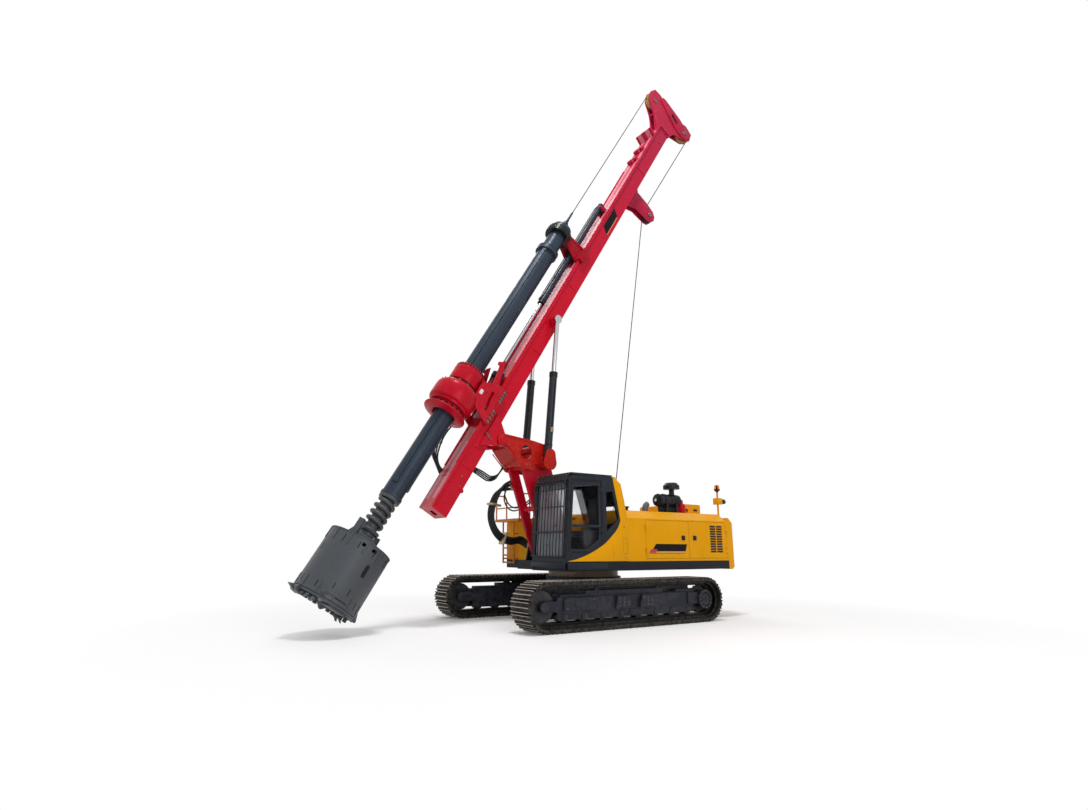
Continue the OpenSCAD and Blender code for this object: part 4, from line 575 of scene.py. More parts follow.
gasket(Piece("door_gasket", "cab_door", GASKET), PANE, 0.022, SKIN, LIP_Y).done()
Piece("door_rail", "cab_door", CAB_GREY).box((0.79, 1.474, 1.905), (1.497, 1.508, 1.955), 0.006).done()
p = Piece("door_handle", "cab_door", BLACK)
p.box((1.05, 1.506, 1.84), (1.17, 1.512, 1.885), 0.003)
p.box((1.06, 1.512, 1.85), (1.15, 1.532, 1.868), 0.006)
for z in (1.853, 2.665):
    p.box((0.755, 1.499, z - 0.05), (0.80, 1.508, z + 0.05), 0.003)
p.done()

p = Piece("cab_gaskets", "upper", GASKET)
gasket(p, QUARTER, 0.02, SKIN, LIP_Y)
gasket(p, RIGHT_PANE, 0.02, 0.394, 0.4015)
p.done()

curve = [tuple(v)[:2] for v in spline([(0.221, 2.059, 0), (0.29, 1.915, 0), (0.425, 1.775, 0), (0.673, 1.580, 0),
                                       (1.038, 1.401, 0), (1.38, 1.292, 0), (1.575, 1.258, 0)], 6)]
fairing = [(0.41, 2.932), (0.345, 2.80), (0.25, 2.62), (0.12, 2.40), (0.104, 2.10), (0.036, 2.10), (0.106, 2.475),
           (0.185, 2.80), (0.29, 2.90), (0.35, 2.935)]
p = Piece("cab_side_panel", "upper", YELLOW, "yellow_paint")
p.prism([(0.396, 2.893), (0.30, 2.46)] + curve + [(1.575, 1.2495), (0.034, 1.2495), (0.034, 2.116), (0.106, 2.475),
        (0.185, 2.80), (0.29, 2.882)], SKIN, PANEL_Y, SIDE, 0.003)
p.prism(fairing, 1.34, SKIN, SIDE, 0.01)
p.prism(fairing, 0.395, 0.54, SIDE, 0.01)
p.box((0.30, 0.42, 2.885), (0.42, 1.49, 2.945), 0.012)
p.done()

p = Piece("cab_panel_marks", "upper", STRIPE_BLACK)
p.prism(rounded(0.055, 1.40, 0.17, 1.71, 0.012), MARK_Y, 1.5082, SIDE, 0,
        [rounded(0.058, 1.403, 0.167, 1.707, 0.01)])
p.boxes(0, ID, (0.43, MARK_Y, 1.335, 0.433, 1.508, 1.56), (0.395, MARK_Y, 1.345, 0.433, 1.508, 1.348))
p.done()
p = Piece("cab_panel_button", "upper", HANDLE_RED)
p.lathe(disc(0.017, 0, 0.008), facing((0.135, PANEL_Y, 1.93), Y), 20)
p.lathe(disc(0.010, 0, 0.005), facing((0.12, PANEL_Y, 1.33), Y), 16)
p.done()

p = Piece("cab_rim", "upper", CAB_GREY, "charcoal_paint")
p.boxes(0.006, ID, (0.72, SKIN, 2.838, 1.455, RIM_Y, 2.872), (0.625, SKIN, 1.80, 0.70, 1.509, 2.86))
p.prism([(1.60, 1.255), (1.645, 1.255), (1.532, 2.82), (1.49, 2.82)], SKIN, RIM_Y, SIDE, 0.006)
p.box((0.36, 0.41, 2.925), (1.42, 1.49, 2.944), 0.008)
p.box((0.62, 1.495, 1.085), (1.62, 1.545, 1.225), 0.02)
p.prism([(1.62, 1.075), (1.69, 1.10), (1.705, 1.16), (1.69, 1.235), (1.62, 1.245)], 0.42, 1.50, SIDE, 0.012)
p.done()

p = Piece("guard_visor", "upper", GUARD)
for i in range(11):
    y = 0.445 + 1.01 * i / 10
    p.tube([(1.594, y, 2.760), (1.585, y, 2.82), (1.54, y, 2.90), (1.45, y, 2.962)], 0.0135, 8)
for x, z in ((1.585, 2.82), (1.535, 2.905)):
    p.tube([(x, 0.43, z), (x, 1.47, z)], 0.012, 8)
for x, z in ((1.583, 2.30), (1.62, 1.80), (1.558, 2.64)):
    p.tube([(x + 0.03, 0.435, z), (x + 0.03, 1.465, z), (x - 0.01, 1.49, z), (x - 0.09, 1.50, z)], 0.011, 8)
p.done()

p = Piece("windshield", "upper", HAZE)
p.prism([(1.617, 1.34), (1.621, 1.34), (1.506, 2.76), (1.502, 2.76)], 0.465, 1.435, SIDE)
p.done()

# Seat, consoles and levers

p = Piece("seat_form", "upper", FABRIC, "seat_fabric")
p.box((0.50, 0.72, 1.60), (1.00, 1.18, 1.74), 0.05, segments=4)
p.box((0.405, 0.74, 1.70), (0.52, 1.16, 2.34), 0.05, segments=4)
p.box((0.41, 0.83, 2.32), (0.50, 1.07, 2.52), 0.035, segments=4)
seat = p.done()
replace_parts(seat, "seat")
p = Piece("cab_consoles", "upper", PANEL)
p.box((0.53, 0.74, 1.305), (0.98, 1.16, 1.60), 0.02)
for y in (0.61, 1.19):
    p.box((0.55, y, 1.305), (1.02, y + 0.11, 1.86), 0.02)
    p.tube([(0.95, y + 0.055, 1.85), (0.97, y + 0.055, 1.95), (0.975, y + 0.055, 2.0)], [0.022, 0.014, 0.02], 10)
for y in (0.86, 1.0):
    p.tube([(1.30, y, 1.305), (1.31, y, 1.70), (1.27, y, 2.0)], 0.014, 8)
p.box((1.40, 0.50, 1.305), (1.52, 1.42, 1.42), 0.02)
p.box((1.36, 0.48, 1.70), (1.43, 0.72, 1.95), 0.015)
p.tube([(1.42, 0.55, 1.40), (1.40, 0.57, 1.80)], 0.02, 8)
p.box((0.20, 0.47, 1.30), (1.55, 1.43, 1.312), 0.004)
p.done()
p = Piece("lever_knobs", "upper", HANDLE_RED)
for x, y in ((0.975, 0.665), (0.975, 1.245), (1.27, 0.86), (1.27, 1.0)):
    p.lathe([(0, -0.03), (0.018, -0.028), (0.028, -0.008), (0.028, 0.008), (0.018, 0.026), (0, 0.03)],
            at(x, y, 2.01), 14)
p.done()

# Hood

HOOD_Y = 1.5
DECAL = -0.0005  # a stripe starts just inside the face
SLITS_X, SLIT_Z, SLIT_STEP = (-2.8604, -2.6452), 1.4197, 0.055135
SLIT_W, SLIT_H = 0.1863, 0.0424


def on_hood(p, side, outline, h0, h1, bevel=0.0):
    """A plate on the hood's face, from h0 to h1 out of it."""
    p.prism(outline, *sided(side, HOOD_Y + h0, HOOD_Y + h1), SIDE, bevel)


for side, tag in ((1, "left"), (-1, "right")):
    front, rear = "door_%s_front" % tag, "door_%s_rear" % tag
    p = Piece("stripe_black_" + tag, front, STRIPE_BLACK)
    on_hood(p, side, [(-0.76, 1.597), (-1.70, 1.597), (-1.64, 1.446), (-0.63, 1.446)], DECAL, 0.0018)
    on_hood(p, side, [(-0.56, 1.398), (-1.62, 1.398), (-1.625, 1.404), (-0.565, 1.404)], DECAL, 0.0014)
    p.done()
    p = Piece("stripe_red_" + tag, front, STRIPE_RED)
    on_hood(p, side, [(-0.61, 1.487), (-0.80, 1.487), (-0.75, 1.411), (-0.55, 1.411)], DECAL, 0.0026)
    p.done()
    p = Piece("stripe_tan_" + tag, front, STRIPE_TAN)
    on_hood(p, side, [(-0.79, 1.432), (-1.63, 1.432), (-1.62, 1.416), (-0.78, 1.416)], DECAL, 0.0018)
    p.done()
    for body, x in ((front, -1.588), (rear, -1.948)):
        p = Piece("latch_" + body, body, BLACK)
        on_hood(p, side, rounded(x - 0.05, 1.681, x + 0.05, 1.781, 0.014), 0.0, 0.0165, 0.003)
        on_hood(p, side, rounded(x - 0.018, 1.70, x + 0.018, 1.762, 0.010), 0.016, 0.021, 0.002)
        p.done()
    # The louvre slits are filled with dark brown-black, painted shade in the openings.
    p = Piece("louvre_" + tag, rear, LOUVRE_SHADE)
    for x0 in SLITS_X:
        for i in range(11):
            z0 = SLIT_Z + i * SLIT_STEP
            x1, z1 = x0 + SLIT_W, z0 + SLIT_H
            on_hood(p, side, [(x0, z0), (x1, z0), (x1, z1), (x0, z1)], -0.0215, 0.0012)
    p.done()

# Roof

TOP = 2.29  # the hood's roof
CLEANER_Y, CLEANER_Z = 1.0, TOP + 0.28
CLEANER = facing((-1.39, CLEANER_Y, CLEANER_Z), X)
p = Piece("cleaner_fittings", "upper", BLACK)
p.lathe([(0, 0), (0.128, 0), (0.136, 0.012), (0.136, 0.03), (0.10, 0.034), (0.055, 0.05), (0.05, 0.07), (0, 0.075)],
        CLEANER, 40)
for i in range(8):
    p.box((-0.008, 0.136, -0.03), (0.008, 0.146, 0.02), 0.002, spin(CLEANER, i * pi / 4))
for x in (-1.50, -1.72, -1.90):
    p.lathe(ring(0.146, -0.008, 0.008, 0.139), facing((x, CLEANER_Y, CLEANER_Z), X), 40)
for i in range(20):
    p.box((0.176, -0.006, 0.0), (0.184, 0.006, 0.085), 0.002, spin(at(-1.835, CLEANER_Y, TOP + 0.545), 2 * pi * i / 20))
p.done()
Piece("cleaner_cap_mark", "upper", LENS).lathe(disc(0.03, 0.0745, 0.079, 0.002), CLEANER, 20).done()
p = Piece("filter_red", "upper", RED)
p.lathe([(0, 0), (0.085, 0), (0.09, 0.01), (0.09, 0.20), (0.07, 0.225), (0, 0.225)], at(-2.16, 0.98, TOP), 28)
p.tube([(-2.16, 0.98, TOP + 0.20), (-2.16, 0.98, TOP + 0.29), (-2.08, 0.99, TOP + 0.31), (-1.98, 1.0, TOP + 0.29)],
       0.04, 12)
p.done()
Piece("exhaust_rim", "upper", BLACK).lathe(ring(0.082, -0.004, 0.02, 0.064), at(-1.18, 0.8, TOP), 28).done()
p = Piece("roof_knobs", "upper", BLACK)
p.lathe([(0, 0), (0.05, 0), (0.05, 0.02), (0.035, 0.03), (0.035, 0.06), (0.06, 0.07), (0.06, 0.095), (0, 0.105)],
        at(-0.35, 1.08, TOP), 24)
p.box((-2.60, 0.744, TOP + 0.06), (-2.58, 0.765, TOP + 0.10), 0.004)
for x in (-2.62, -2.94):
    p.box((x, 0.7495, TOP + 0.09), (x + 0.12, 0.756, TOP + 0.14), 0.002)
    p.tube([(x + d, y, TOP + 0.11) for d, y in ((0.01, 0.75), (0.02, 0.775), (0.10, 0.775), (0.11, 0.75))], 0.007, 8)
p.done()
p = Piece("roof_lids", "upper", YELLOW, "yellow_paint")
p.boxes(0.006, ID, (-3.04, -0.73, TOP + 0.238, -2.545, 0.73, TOP + 0.252),
        (-1.62, -0.45, TOP - 0.002, -1.30, 0.45, TOP + 0.02))
p.box((-2.35, -0.9, TOP - 0.002), (-1.62, 0.62, TOP + 0.014), 0.005)
p.done()

BEACON_X, BEACON_Y = -3.096, 1.25
LAMP = at(BEACON_X, BEACON_Y, 2.842)
STEM = at(BEACON_X, BEACON_Y, 2.202)
p = Piece("beacon_lens", "upper", AMBER)
p.lathe([(0.0, 0.045), (0.058, 0.045), (0.062, 0.055), (0.056, 0.125), (0.04, 0.142), (0, 0.148)], LAMP, 28)
p.done()
p = Piece("beacon_base", "upper", BLACK)
p.lathe([(0, -0.03), (0.03, -0.03), (0.04, 0), (0.066, 0.004), (0.07, 0.04), (0.055, 0.046), (0, 0.046)], LAMP, 28)
p.lathe([(0.02, 0.046), (0.02, 0.12), (0, 0.122)], LAMP, 12)
p.box((-0.215, -0.045, 0.338), (-0.075, 0.045, 0.448), 0.012, STEM)
p.lathe([(0, 0), (0.036, 0), (0.038, 0.03), (0.03, 0.034), (0, 0.03)],
        facing((BEACON_X - 0.215, BEACON_Y, 2.595), -X), 20)
p.done()
p = Piece("beacon_stem", "upper", YELLOW, "yellow_paint")
p.lathe([(0, 0), (0.022, 0), (0.022, 0.64), (0, 0.64)], STEM, 16)
p.box((-0.075, -0.075, 0.32), (0.075, 0.075, 0.47), 0.010, STEM)
p.box((-0.05, -0.05, 0), (0.05, 0.05, 0.012), 0.003, STEM)
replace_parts(p.done(), "beacon_post")

# Tracks

AXLE, REAR, FRONT = 0.455, -1.88, 2.29  # the axles' height and places
BASE = 0.397  # the shoe line's radius about an axle
FRAME_Y, COVER_Y = 1.684, 1.7205  # the faces of the track frame and of the plate on it
ROLLERS, ROLLER_Z, ROLLER_END = 8, 0.258, 0.464  # number, height, and the end ones' distance from the axles
LOOP = FRONT - REAR
SHOES, TRACK_Y = 53, 1.545
PITCH = (2 * LOOP + 2 * pi * BASE) / SHOES


def shoe_frame(i, y, x=0.0):
    """A frame on the shoe line, x along shoe i, with Z out of the track and X along it."""
    s, turn = (i + 0.5) * PITCH, atan2(x, AXLE)
    if s < LOOP:
        return basis(X, Y, -Z, (REAR + s + x, y, AXLE - BASE))
    s -= LOOP
    if s < pi * BASE:
        end, a = FRONT, s / BASE + turn
    else:
        s -= pi * BASE
        if s < LOOP:
            return basis(-X, Y, Z, (FRONT - s - x, y, AXLE + BASE))
        end, a = REAR, pi + (s - LOOP) / BASE + turn
    return basis((cos(a), 0, sin(a)), Y, (sin(a), 0, -cos(a)), (end + BASE * sin(a), y, AXLE - BASE * cos(a)))


STADIUM = arc(FRONT, AXLE, BASE, -90, 90, 20) + arc(REAR, AXLE, BASE, 90, 270, 20)
for side, tag in ((1, "left"), (-1, "right")):
    middle, outer = side * TRACK_Y, Y * side
    p = Piece("shoe_bolts_" + tag, "undercarriage", SHOE, "shoe_steel")
    for i in range(SHOES):
        m = shoe_frame(i, middle)
        for x in (-0.048, 0.048):
            for y in (-0.085, 0.085):
                p.prism([(x + u, y + v) for u, v in hexagon(0.016)], 0.027, 0.040, m)
    p.done()
    p = Piece("rib_tips_" + tag, "undercarriage", TIP, "shoe_steel")
    q = Piece("link_plates_" + tag, "undercarriage", LINK, "shoe_steel")
    for i in range(SHOES):
        for x, half in ((-0.0903, 0.0063), (0, 0.0075), (0.0903, 0.0063)):
            p.box((-half, -0.288, 0.047), (half, 0.288, 0.0584), 0.002, shoe_frame(i, middle, x), 1)
        m = shoe_frame(i, middle)
        for y in (-0.215, -0.085, 0.06, 0.19):
            q.box((-0.085, y, -0.075), (0.085, y + 0.025, 0.002), 0.010, m, 1)
            q.lathe(disc(0.026, -0.008, 0.033), m @ at(0.1, y, -0.04) @ Matrix.Rotation(-pi / 2, 4, "X"), 12)
    q.prism(STADIUM, *sided(side, 1.25, 1.842), SIDE, 0, [grow(STADIUM, -0.004)])
    p.done()
    q.done()

    p = Piece("frame_plates_" + tag, "undercarriage", FRAME_BLUE, "frame_paint")
    for x0, x1, z1, y1 in ((1.02, 1.86, 0.60, 1.719), (-1.72, -1.40, 0.604, 1.715)):
        p.prism([(x0, 0.372), (x1, 0.372), (x1, z1), (x0, z1)], *sided(side, FRAME_Y, y1), SIDE, 0.008)
    for x in (-1.05, 0.10, 1.20):
        p.prism([(x - 0.20, 0.215), (x + 0.20, 0.215), (x + 0.12, 0.345), (x - 0.12, 0.345)],
                *sided(side, FRAME_Y, 1.70), SIDE, 0.010)
    for x0, x1, z1 in ((-0.72, 1.30, 0.72), (1.30, 1.90, 0.66), (-1.66, -1.10, 0.68), (-1.10, -0.72, 0.63)):
        p.prism([(x0, 0.59), (x1, 0.59), (x1, z1), (x0, z1)], *sided(side, 1.42, 1.655), SIDE, 0.012)
    hub = facing((REAR, side * 1.739, AXLE), outer)
    p.lathe([(0.14, 0), (0.20, 0), (0.20, 0.02), (0.19, 0.03), (0.14, 0.03)], hub, 40)
    p.lathe([(0, 0), (0.13, 0), (0.12, 0.028), (0.05, 0.034), (0, 0.034)], hub, 32)
    p.done()
    p = Piece("frame_bolts_" + tag, "undercarriage", BOLT)
    p.bolt_ring((REAR, side * 1.768, AXLE), (X, Z), 0.17, 12, outer, 0.010, 0.012)
    for y, xs, zs in ((1.7445, (-0.34, -0.22, -0.10, 0.30, 0.42, 0.54), (0.42, 0.485, 0.55)),
                      (COVER_Y, (1.15, 1.78), (0.41, 0.565))):
        for x in xs:
            for z in zs:
                p.bolt((x, side * y, z), outer, 0.010, 0.012)
    p.done()
    p = Piece("roller_caps_" + tag, "undercarriage", WHEEL, "wheel_steel")
    first, last = REAR + ROLLER_END, FRONT - ROLLER_END
    for i in range(ROLLERS):
        x = first + (last - first) * i / (ROLLERS - 1)
        for y, way in ((1.4045, -outer), (1.6855, outer)):
            p.lathe(disc(0.062, 0, 0.022, 0.008), facing((x, side * y, ROLLER_Z), way), 24)
            p.lathe(disc(0.03, 0.02, 0.034, 0.006), facing((x, side * y, ROLLER_Z), way), 16)
    p.lathe(disc(0.085, 0, 0.02, 0.006), facing((FRONT, side * 1.685, AXLE), outer), 28)
    # A dark plate behind the frame that fills the gap under the upper run: painted shade, for the inner structure in
    # shadow there.
    p.prism([(-1.62, 0.58), (0.90, 0.58), (0.90, 0.74), (0.84, 0.772), (-1.56, 0.772), (-1.62, 0.74)],
            *sided(side, 1.50, 1.53), SIDE, 0.006)
    p.done()
    # A near-black disc on the cover plate for its hole: painted shade.
    p = Piece("frame_holes_" + tag, "undercarriage", PAINTED_SHADE)
    p.lathe(disc(0.024, 0, 0.002, 0.001), facing((1.62, side * COVER_Y, 0.48), outer), 20)
    p.done()

# Rotary head


def spoke(a):
    """The way out from the kelly's axis at an angle."""
    return MT * cos(a) + Y * sin(a)


p = Piece("head_form", "rotary_head", HEAD_RED, "red_paint")
p.lathe([(0.262, -0.196), (0.361, -0.196), (0.361, -0.124), (0.418, -0.118), (0.420, -0.112), (0.420, -0.07),
         (0.455, -0.052), (0.470, -0.040), (0.477, -0.02), (0.477, 0.24), (0.472, 0.29), (0.455, 0.335), (0.428, 0.375),
         (0.39, 0.405), (0.34, 0.42), (0.298, 0.425), (0.298, 0.485), (0.325, 0.49), (0.327, 0.495), (0.327, 0.74),
         (0.333, 0.745), (0.333, 0.80), (0.327, 0.805), (0.327, 0.88), (0.318, 0.892), (0.262, 0.892), (0.262, -0.196)],
        KELLY, 96)
p.box((-0.33, -0.20, 0.30), (-0.20, 0.20, 0.86), 0.02, KELLY)
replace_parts(p.done(), "rotary_head")
# Near-black in the head's slots, notches and neck groove: painted shade.
p = Piece("head_dark", "rotary_head", PAINTED_SHADE)
for i in range(18):
    p.box((0.35, -0.034, -0.188), (0.3645, 0.034, -0.138), 0.002, turned(20 * i))
for i in range(30):
    p.box((0.300, -0.017, 0.835), (0.3295, 0.017, 0.888), 0.003, turned(12 * i))
p.lathe(ring(0.301, 0.430, 0.480, 0.28), KELLY, 60)
p.done()
p = Piece("head_bolts", "rotary_head", BOLT)
for i in range(24):
    n = spoke(2 * pi * i / 24)
    p.bolt(mast(KT, 0, 0.355) + n * 0.441, n * 0.80 + MU * 0.60, 0.011, 0.012)
for i in range(10):
    n = spoke(2 * pi * (i + 0.5) / 10)
    p.bolt(mast(KT, 0, 0.455) + n * 0.299, n, 0.016, 0.022)
p.done()
p = Piece("flange_form", "drive_sleeve", HEAD_RED, "red_paint")
p.lathe([(0.244, -0.278), (0.27, -0.300), (0.33, -0.300), (0.36, -0.282), (0.44, -0.272), (0.460, -0.262),
         (0.464, -0.254), (0.464, -0.242), (0.458, -0.232), (0.40, -0.236), (0.34, -0.228), (0.30, -0.222),
         (0.256, -0.220), (0.256, 0.90), (0.244, 0.90), (0.244, -0.278)], KELLY, 96)
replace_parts(p.done(), "drive_sleeve")
p = Piece("flange_bolts", "drive_sleeve", BOLT)
p.bolt_ring(mast(KT, 0, -0.236), (MT, Y), 0.40, 20, MU, 0.011, 0.012)
p.done()

SLED_Y, RAIL_Y = 0.329, 0.3445  # the sled's side face, and just inside the face of the rail on it
SLED_BOLTS = [0.07 + 0.09 * i for i in range(4)] + [0.60 + 0.08 * i for i in range(4)]
p = Piece("sled_plate", "rotary_head", WHITE)
p.prism(rounded(0.93, 0.47, 1.005, 0.575, 0.006), 0.3295, 0.3325, MSIDE, 0.001)
p.done()
p = Piece("sled_trim", "rotary_head", HEAD_RED, "red_paint")
for s in (1, -1):
    for t0, s0, t1, s1 in ((0.50, 0.02, 0.89, 0.17), (0.89, 0.17, 1.04, 0.46), (0.93, 1.33, 0.87, 1.40)):
        p.tube([mast(t0, s * 0.31, s0), mast(t1, s * 0.31, s1)], 0.022, 10)
    p.prism([(0.49, 0.02), (0.54, 0.02), (0.54, 0.90), (0.49, 0.90)], *sided(s, SLED_Y, 0.345), MSIDE, 0.005)
    p.lathe(disc(0.05, 0, 0.02), across(mast(0.94, s * SLED_Y, 1.32), s), 24)
p.done()
p = Piece("sled_bolts", "rotary_head", BOLT)
for s in (1, -1):
    for q in SLED_BOLTS:
        p.bolt(mast(0.515, s * RAIL_Y, q), Y * s, 0.026, 0.026)
p.done()
# Black slanted patches for the bolt slots on the sled's sides: painted shade in the slots.
p = Piece("sled_marks", "rotary_head", BLACK)
for s in (1, -1):
    for q in SLED_BOLTS:
        p.prism([(0.475, q + 0.016), (0.50, q + 0.030), (0.50, q + 0.062), (0.475, q + 0.048)],
                *sided(s, RAIL_Y, 0.352), MSIDE, 0.002)
p.done()
p = Piece("feed_block", "rotary_head", BLACK)
p.box((0.69, -0.10, 1.14), (0.83, 0.10, 1.24), 0.02, MAST)
p.box((0.66, 0.09, 1.12), (0.80, 0.20, 1.30), 0.025, MAST)
p.lathe(disc(0.06, 0, 0.17, 0.01), MAST @ at(0.73, -0.15, 1.12), 24)
p.lathe(disc(0.055, 0, 0.12, 0.01), MAST @ at(0.86, 0.14, 1.10), 24)
for y in (-0.06, 0.06):
    p.lathe(disc(0.04, 0, 0.06, 0.006), across(mast(0.75, y - 0.03, 1.25)), 20)
for a in (-60, -110):
    m = basis(MT, Y, MU, mast(KT, 0, 0.42) + spoke(radians(a)) * 0.383)
    p.lathe([(0.044, 0), (0.066, 0), (0.066, 0.03), (0.044, 0.03)], m, 24)
    p.lathe([(0.044, 0.14), (0.058, 0.15), (0.058, 0.33), (0.05, 0.36), (0.044, 0.36)], m, 24)
    p.box((-0.05, -0.05, 0.36), (0.05, 0.05, 0.435), 0.01, m)
p.done()

# Mast

FLANK = 0.2495  # just inside the mast's side faces
p = Piece("mast_marks", "mast", STRIPE_BLACK)
q = Piece("mast_mark_line", "mast", STRIPE_TAN)
for s in (1, -1):
    y = sided(s, FLANK, 0.2515)
    p.prism([(0.31, 6.33), (0.49, 6.45), (0.49, 7.18), (0.31, 7.06)], *y, MSIDE)
    q.prism([(0.285, 6.34), (0.298, 6.349), (0.298, 7.04), (0.285, 7.031)], *y, MSIDE)
p.done()
q.done()
p = Piece("mast_trim", "mast", RED, "red_paint")
for s0, t1 in ((-2.048, 0.555), (-0.97, 0.48), (2.25, 0.48), (4.3, 0.48), (8.9, 0.555), (10.70, 0.555)):
    for s in (1, -1):
        p.box((0.205, -0.006, 0), (t1, 0.006, 0.05), 0.004, MAST @ at(0, s * 0.254, s0))
for s0 in (9.20, 9.68):
    for y in (-0.16, 0.04):
        p.box((0.597, y, s0), (0.70, y + 0.12, s0 + 0.11), 0.012, MAST)
p.box((0.597, -0.11, -1.30), (0.612, 0.11, -1.285), 0.003, MAST)
for y in (-0.268, 0.238):
    p.box((0.598, y, -1.02), (0.622, y + 0.03, 9.0), 0.004, MAST)
p.prism([(0.20, -0.42), (0.48, -0.51), (0.48, -0.44), (0.20, -0.36)], FLANK, 0.262, MSIDE, 0.004)
p.box((0.58, -0.14, 6.98), (0.80, 0.14, 7.02), 0.008, MAST)
for s in (1, -1):
    p.lathe(disc(0.085, 0, 0.02, 0.006), across(mast(0, s * 0.339, 0), s), 32)
p.done()
p = Piece("mast_bolts", "mast", BOLT)
for s in (1, -1):
    for i in range(3):
        p.bolt(mast(0.26 + 0.06 * i, s * 0.2905, -0.16 + 0.02 * i), Y * s, 0.018, 0.022)
    for t in (0.24, 0.30, 0.36):
        p.bolt(mast(t, s * FLANK, 10.30), Y * s, 0.016, 0.02)
    for t, q in ((0.36, -1.18), (0.30, -1.37)):
        p.bolt(mast(t, s * FLANK, q), Y * s, 0.014, 0.018)
p.done()
p = Piece("feed_collars", "mast", BLACK)
FEED = MAST @ at(0.75, 0, 0)
p.lathe(ring(0.086, 3.50, 3.60, 0.046), FEED, 32)
p.lathe(ring(0.081, 5.2, 5.24, 0.07), FEED, 32)
p.lathe([(0, 7.14), (0.07, 7.14), (0.076, 7.15), (0.06, 7.18), (0, 7.18)], FEED, 32)
p.box((0.60, -0.05, 5.14), (0.69, 0.05, 5.30), 0.01, MAST)
p.box((0.80, -0.025, 3.56), (0.86, 0.025, 3.64), 0.006, MAST)
p.tube([mast(t, 0.0, q) for t, q in ((0.835, 3.62), (0.845, 3.8), (0.845, 6.9), (0.82, 7.05))], 0.012, 8)
p.done()

# Crown and guide bracket

CHEEK_IN, CHEEK_OUT = 0.094, 0.124
GUIDE_T, GUIDE_S = -0.55, 8.20  # the guide pulley's axle in the mast's frame
CHEEK = [(0.93, 11.80), (0.90, 11.93), (0.78, 11.96), (0.10, 11.90), (-0.36, 11.78), (-0.44, 11.66), (-0.40, 11.50),
         (-0.26, 11.43), (0.05, 11.45), (0.45, 11.60)]
CHEEK_SLOT = [(0.404, 11.70), (0.363, 11.80), (0.09, 11.712), (0.114, 11.612)]
PULLEY = [(0.202, 8.34), (0.06, 8.45), (-0.34, 8.43), (-0.60, 8.375), (-0.715, 8.28), (-0.745, 8.16), (-0.69, 8.05),
          (-0.58, 8.0), (-0.40, 7.985), (-0.12, 7.97), (0.202, 7.80)]
p = Piece("crown_bolts", "mast", BOLT)
for s in (1, -1):
    for t, y, q in ((1.039, 0.0945, 11.60), (-0.23, 0.1235, 11.64)):
        c = mast(t, s * y, q)
        p.lathe(disc(0.062, 0, 0.018, 0.005), across(c, s), 28)
        p.bolt_ring(c, (MT, MU), 0.09, 6, Y * s, 0.011, 0.014)
    for t, q in ((0.84, 11.90), (0.66, 11.90), (-0.10, 11.80), (0.40, 11.63)):
        p.bolt(mast(t, s * 0.1235, q), Y * s, 0.013, 0.016)
    for t, q in ((-0.40, 8.30), (-0.40, 8.10), (-0.10, 8.36), (-0.10, 8.05), (0.10, 8.30), (0.10, 8.02)):
        p.bolt(mast(t, s * 0.0935, q), Y * s, 0.014, 0.016)
    p.lathe(disc(0.06, 0, 0.018, 0.005), across(mast(GUIDE_T, s * 0.0995, GUIDE_S), s), 24)
p.done()
# Near-black sheets in the slots of the crown's cheeks: painted shade.
p = Piece("crown_slots", "mast", PAINTED_SHADE)
q = Piece("crown_cheeks", "mast", CROWN_RED, "red_paint")
for s in (1, -1):
    p.prism(CHEEK_SLOT, *sided(s, CHEEK_IN, 0.1005), MSIDE)
    q.prism(CHEEK, *sided(s, CHEEK_IN, CHEEK_OUT), MSIDE, 0.006, [CHEEK_SLOT])
p.done()
q.done()
p = Piece("bracket_form", "mast", CROWN_RED, "red_paint")
for s in (1, -1):
    p.prism(PULLEY, *sided(s, 0.064, 0.094), MSIDE, 0.006)
    p.prism([(0.202, 8.60), (0.16, 8.62), (0.02, 8.44), (0.202, 8.30)], *sided(s, 0.02, 0.06), MSIDE, 0.004)
p.box((0.165, -0.17, 7.78), (0.202, 0.17, 8.60), 0.006, MAST)
p.lathe(disc(0.05, -0.10, 0.10, 0.006), across(mast(GUIDE_T, 0, GUIDE_S)), 28)
for t, q in ((0.02, 8.32), (0.0, 8.02)):
    p.lathe(disc(0.032, -0.066, 0.066, 0.002), across(mast(t, 0, q)), 20)
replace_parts(p.done(), "guide_bracket")
p = Piece("crown_boxes", "mast", CROWN_RED, "red_paint")
for s in (1, -1):
    p.prism([(0.20, 10.82), (0.60, 10.82), (0.86, 11.16), (0.80, 11.20), (0.54, 10.90), (0.26, 10.90)],
            *sided(s, 0.0945, 0.108), MSIDE, 0.004)
for t, q in ((0.88, 11.15), (0.10, 11.30), (0.40, 11.66)):
    p.tube([mast(t, -0.07, q), mast(t, 0.07, q)], 0.03, 12)
p.boxes(0.006, MAST, (0.30, -0.20, 10.815, 0.50, -0.095, 10.98), (0.30, 0.095, 10.815, 0.50, 0.20, 10.98))
p.done()

# Linkage

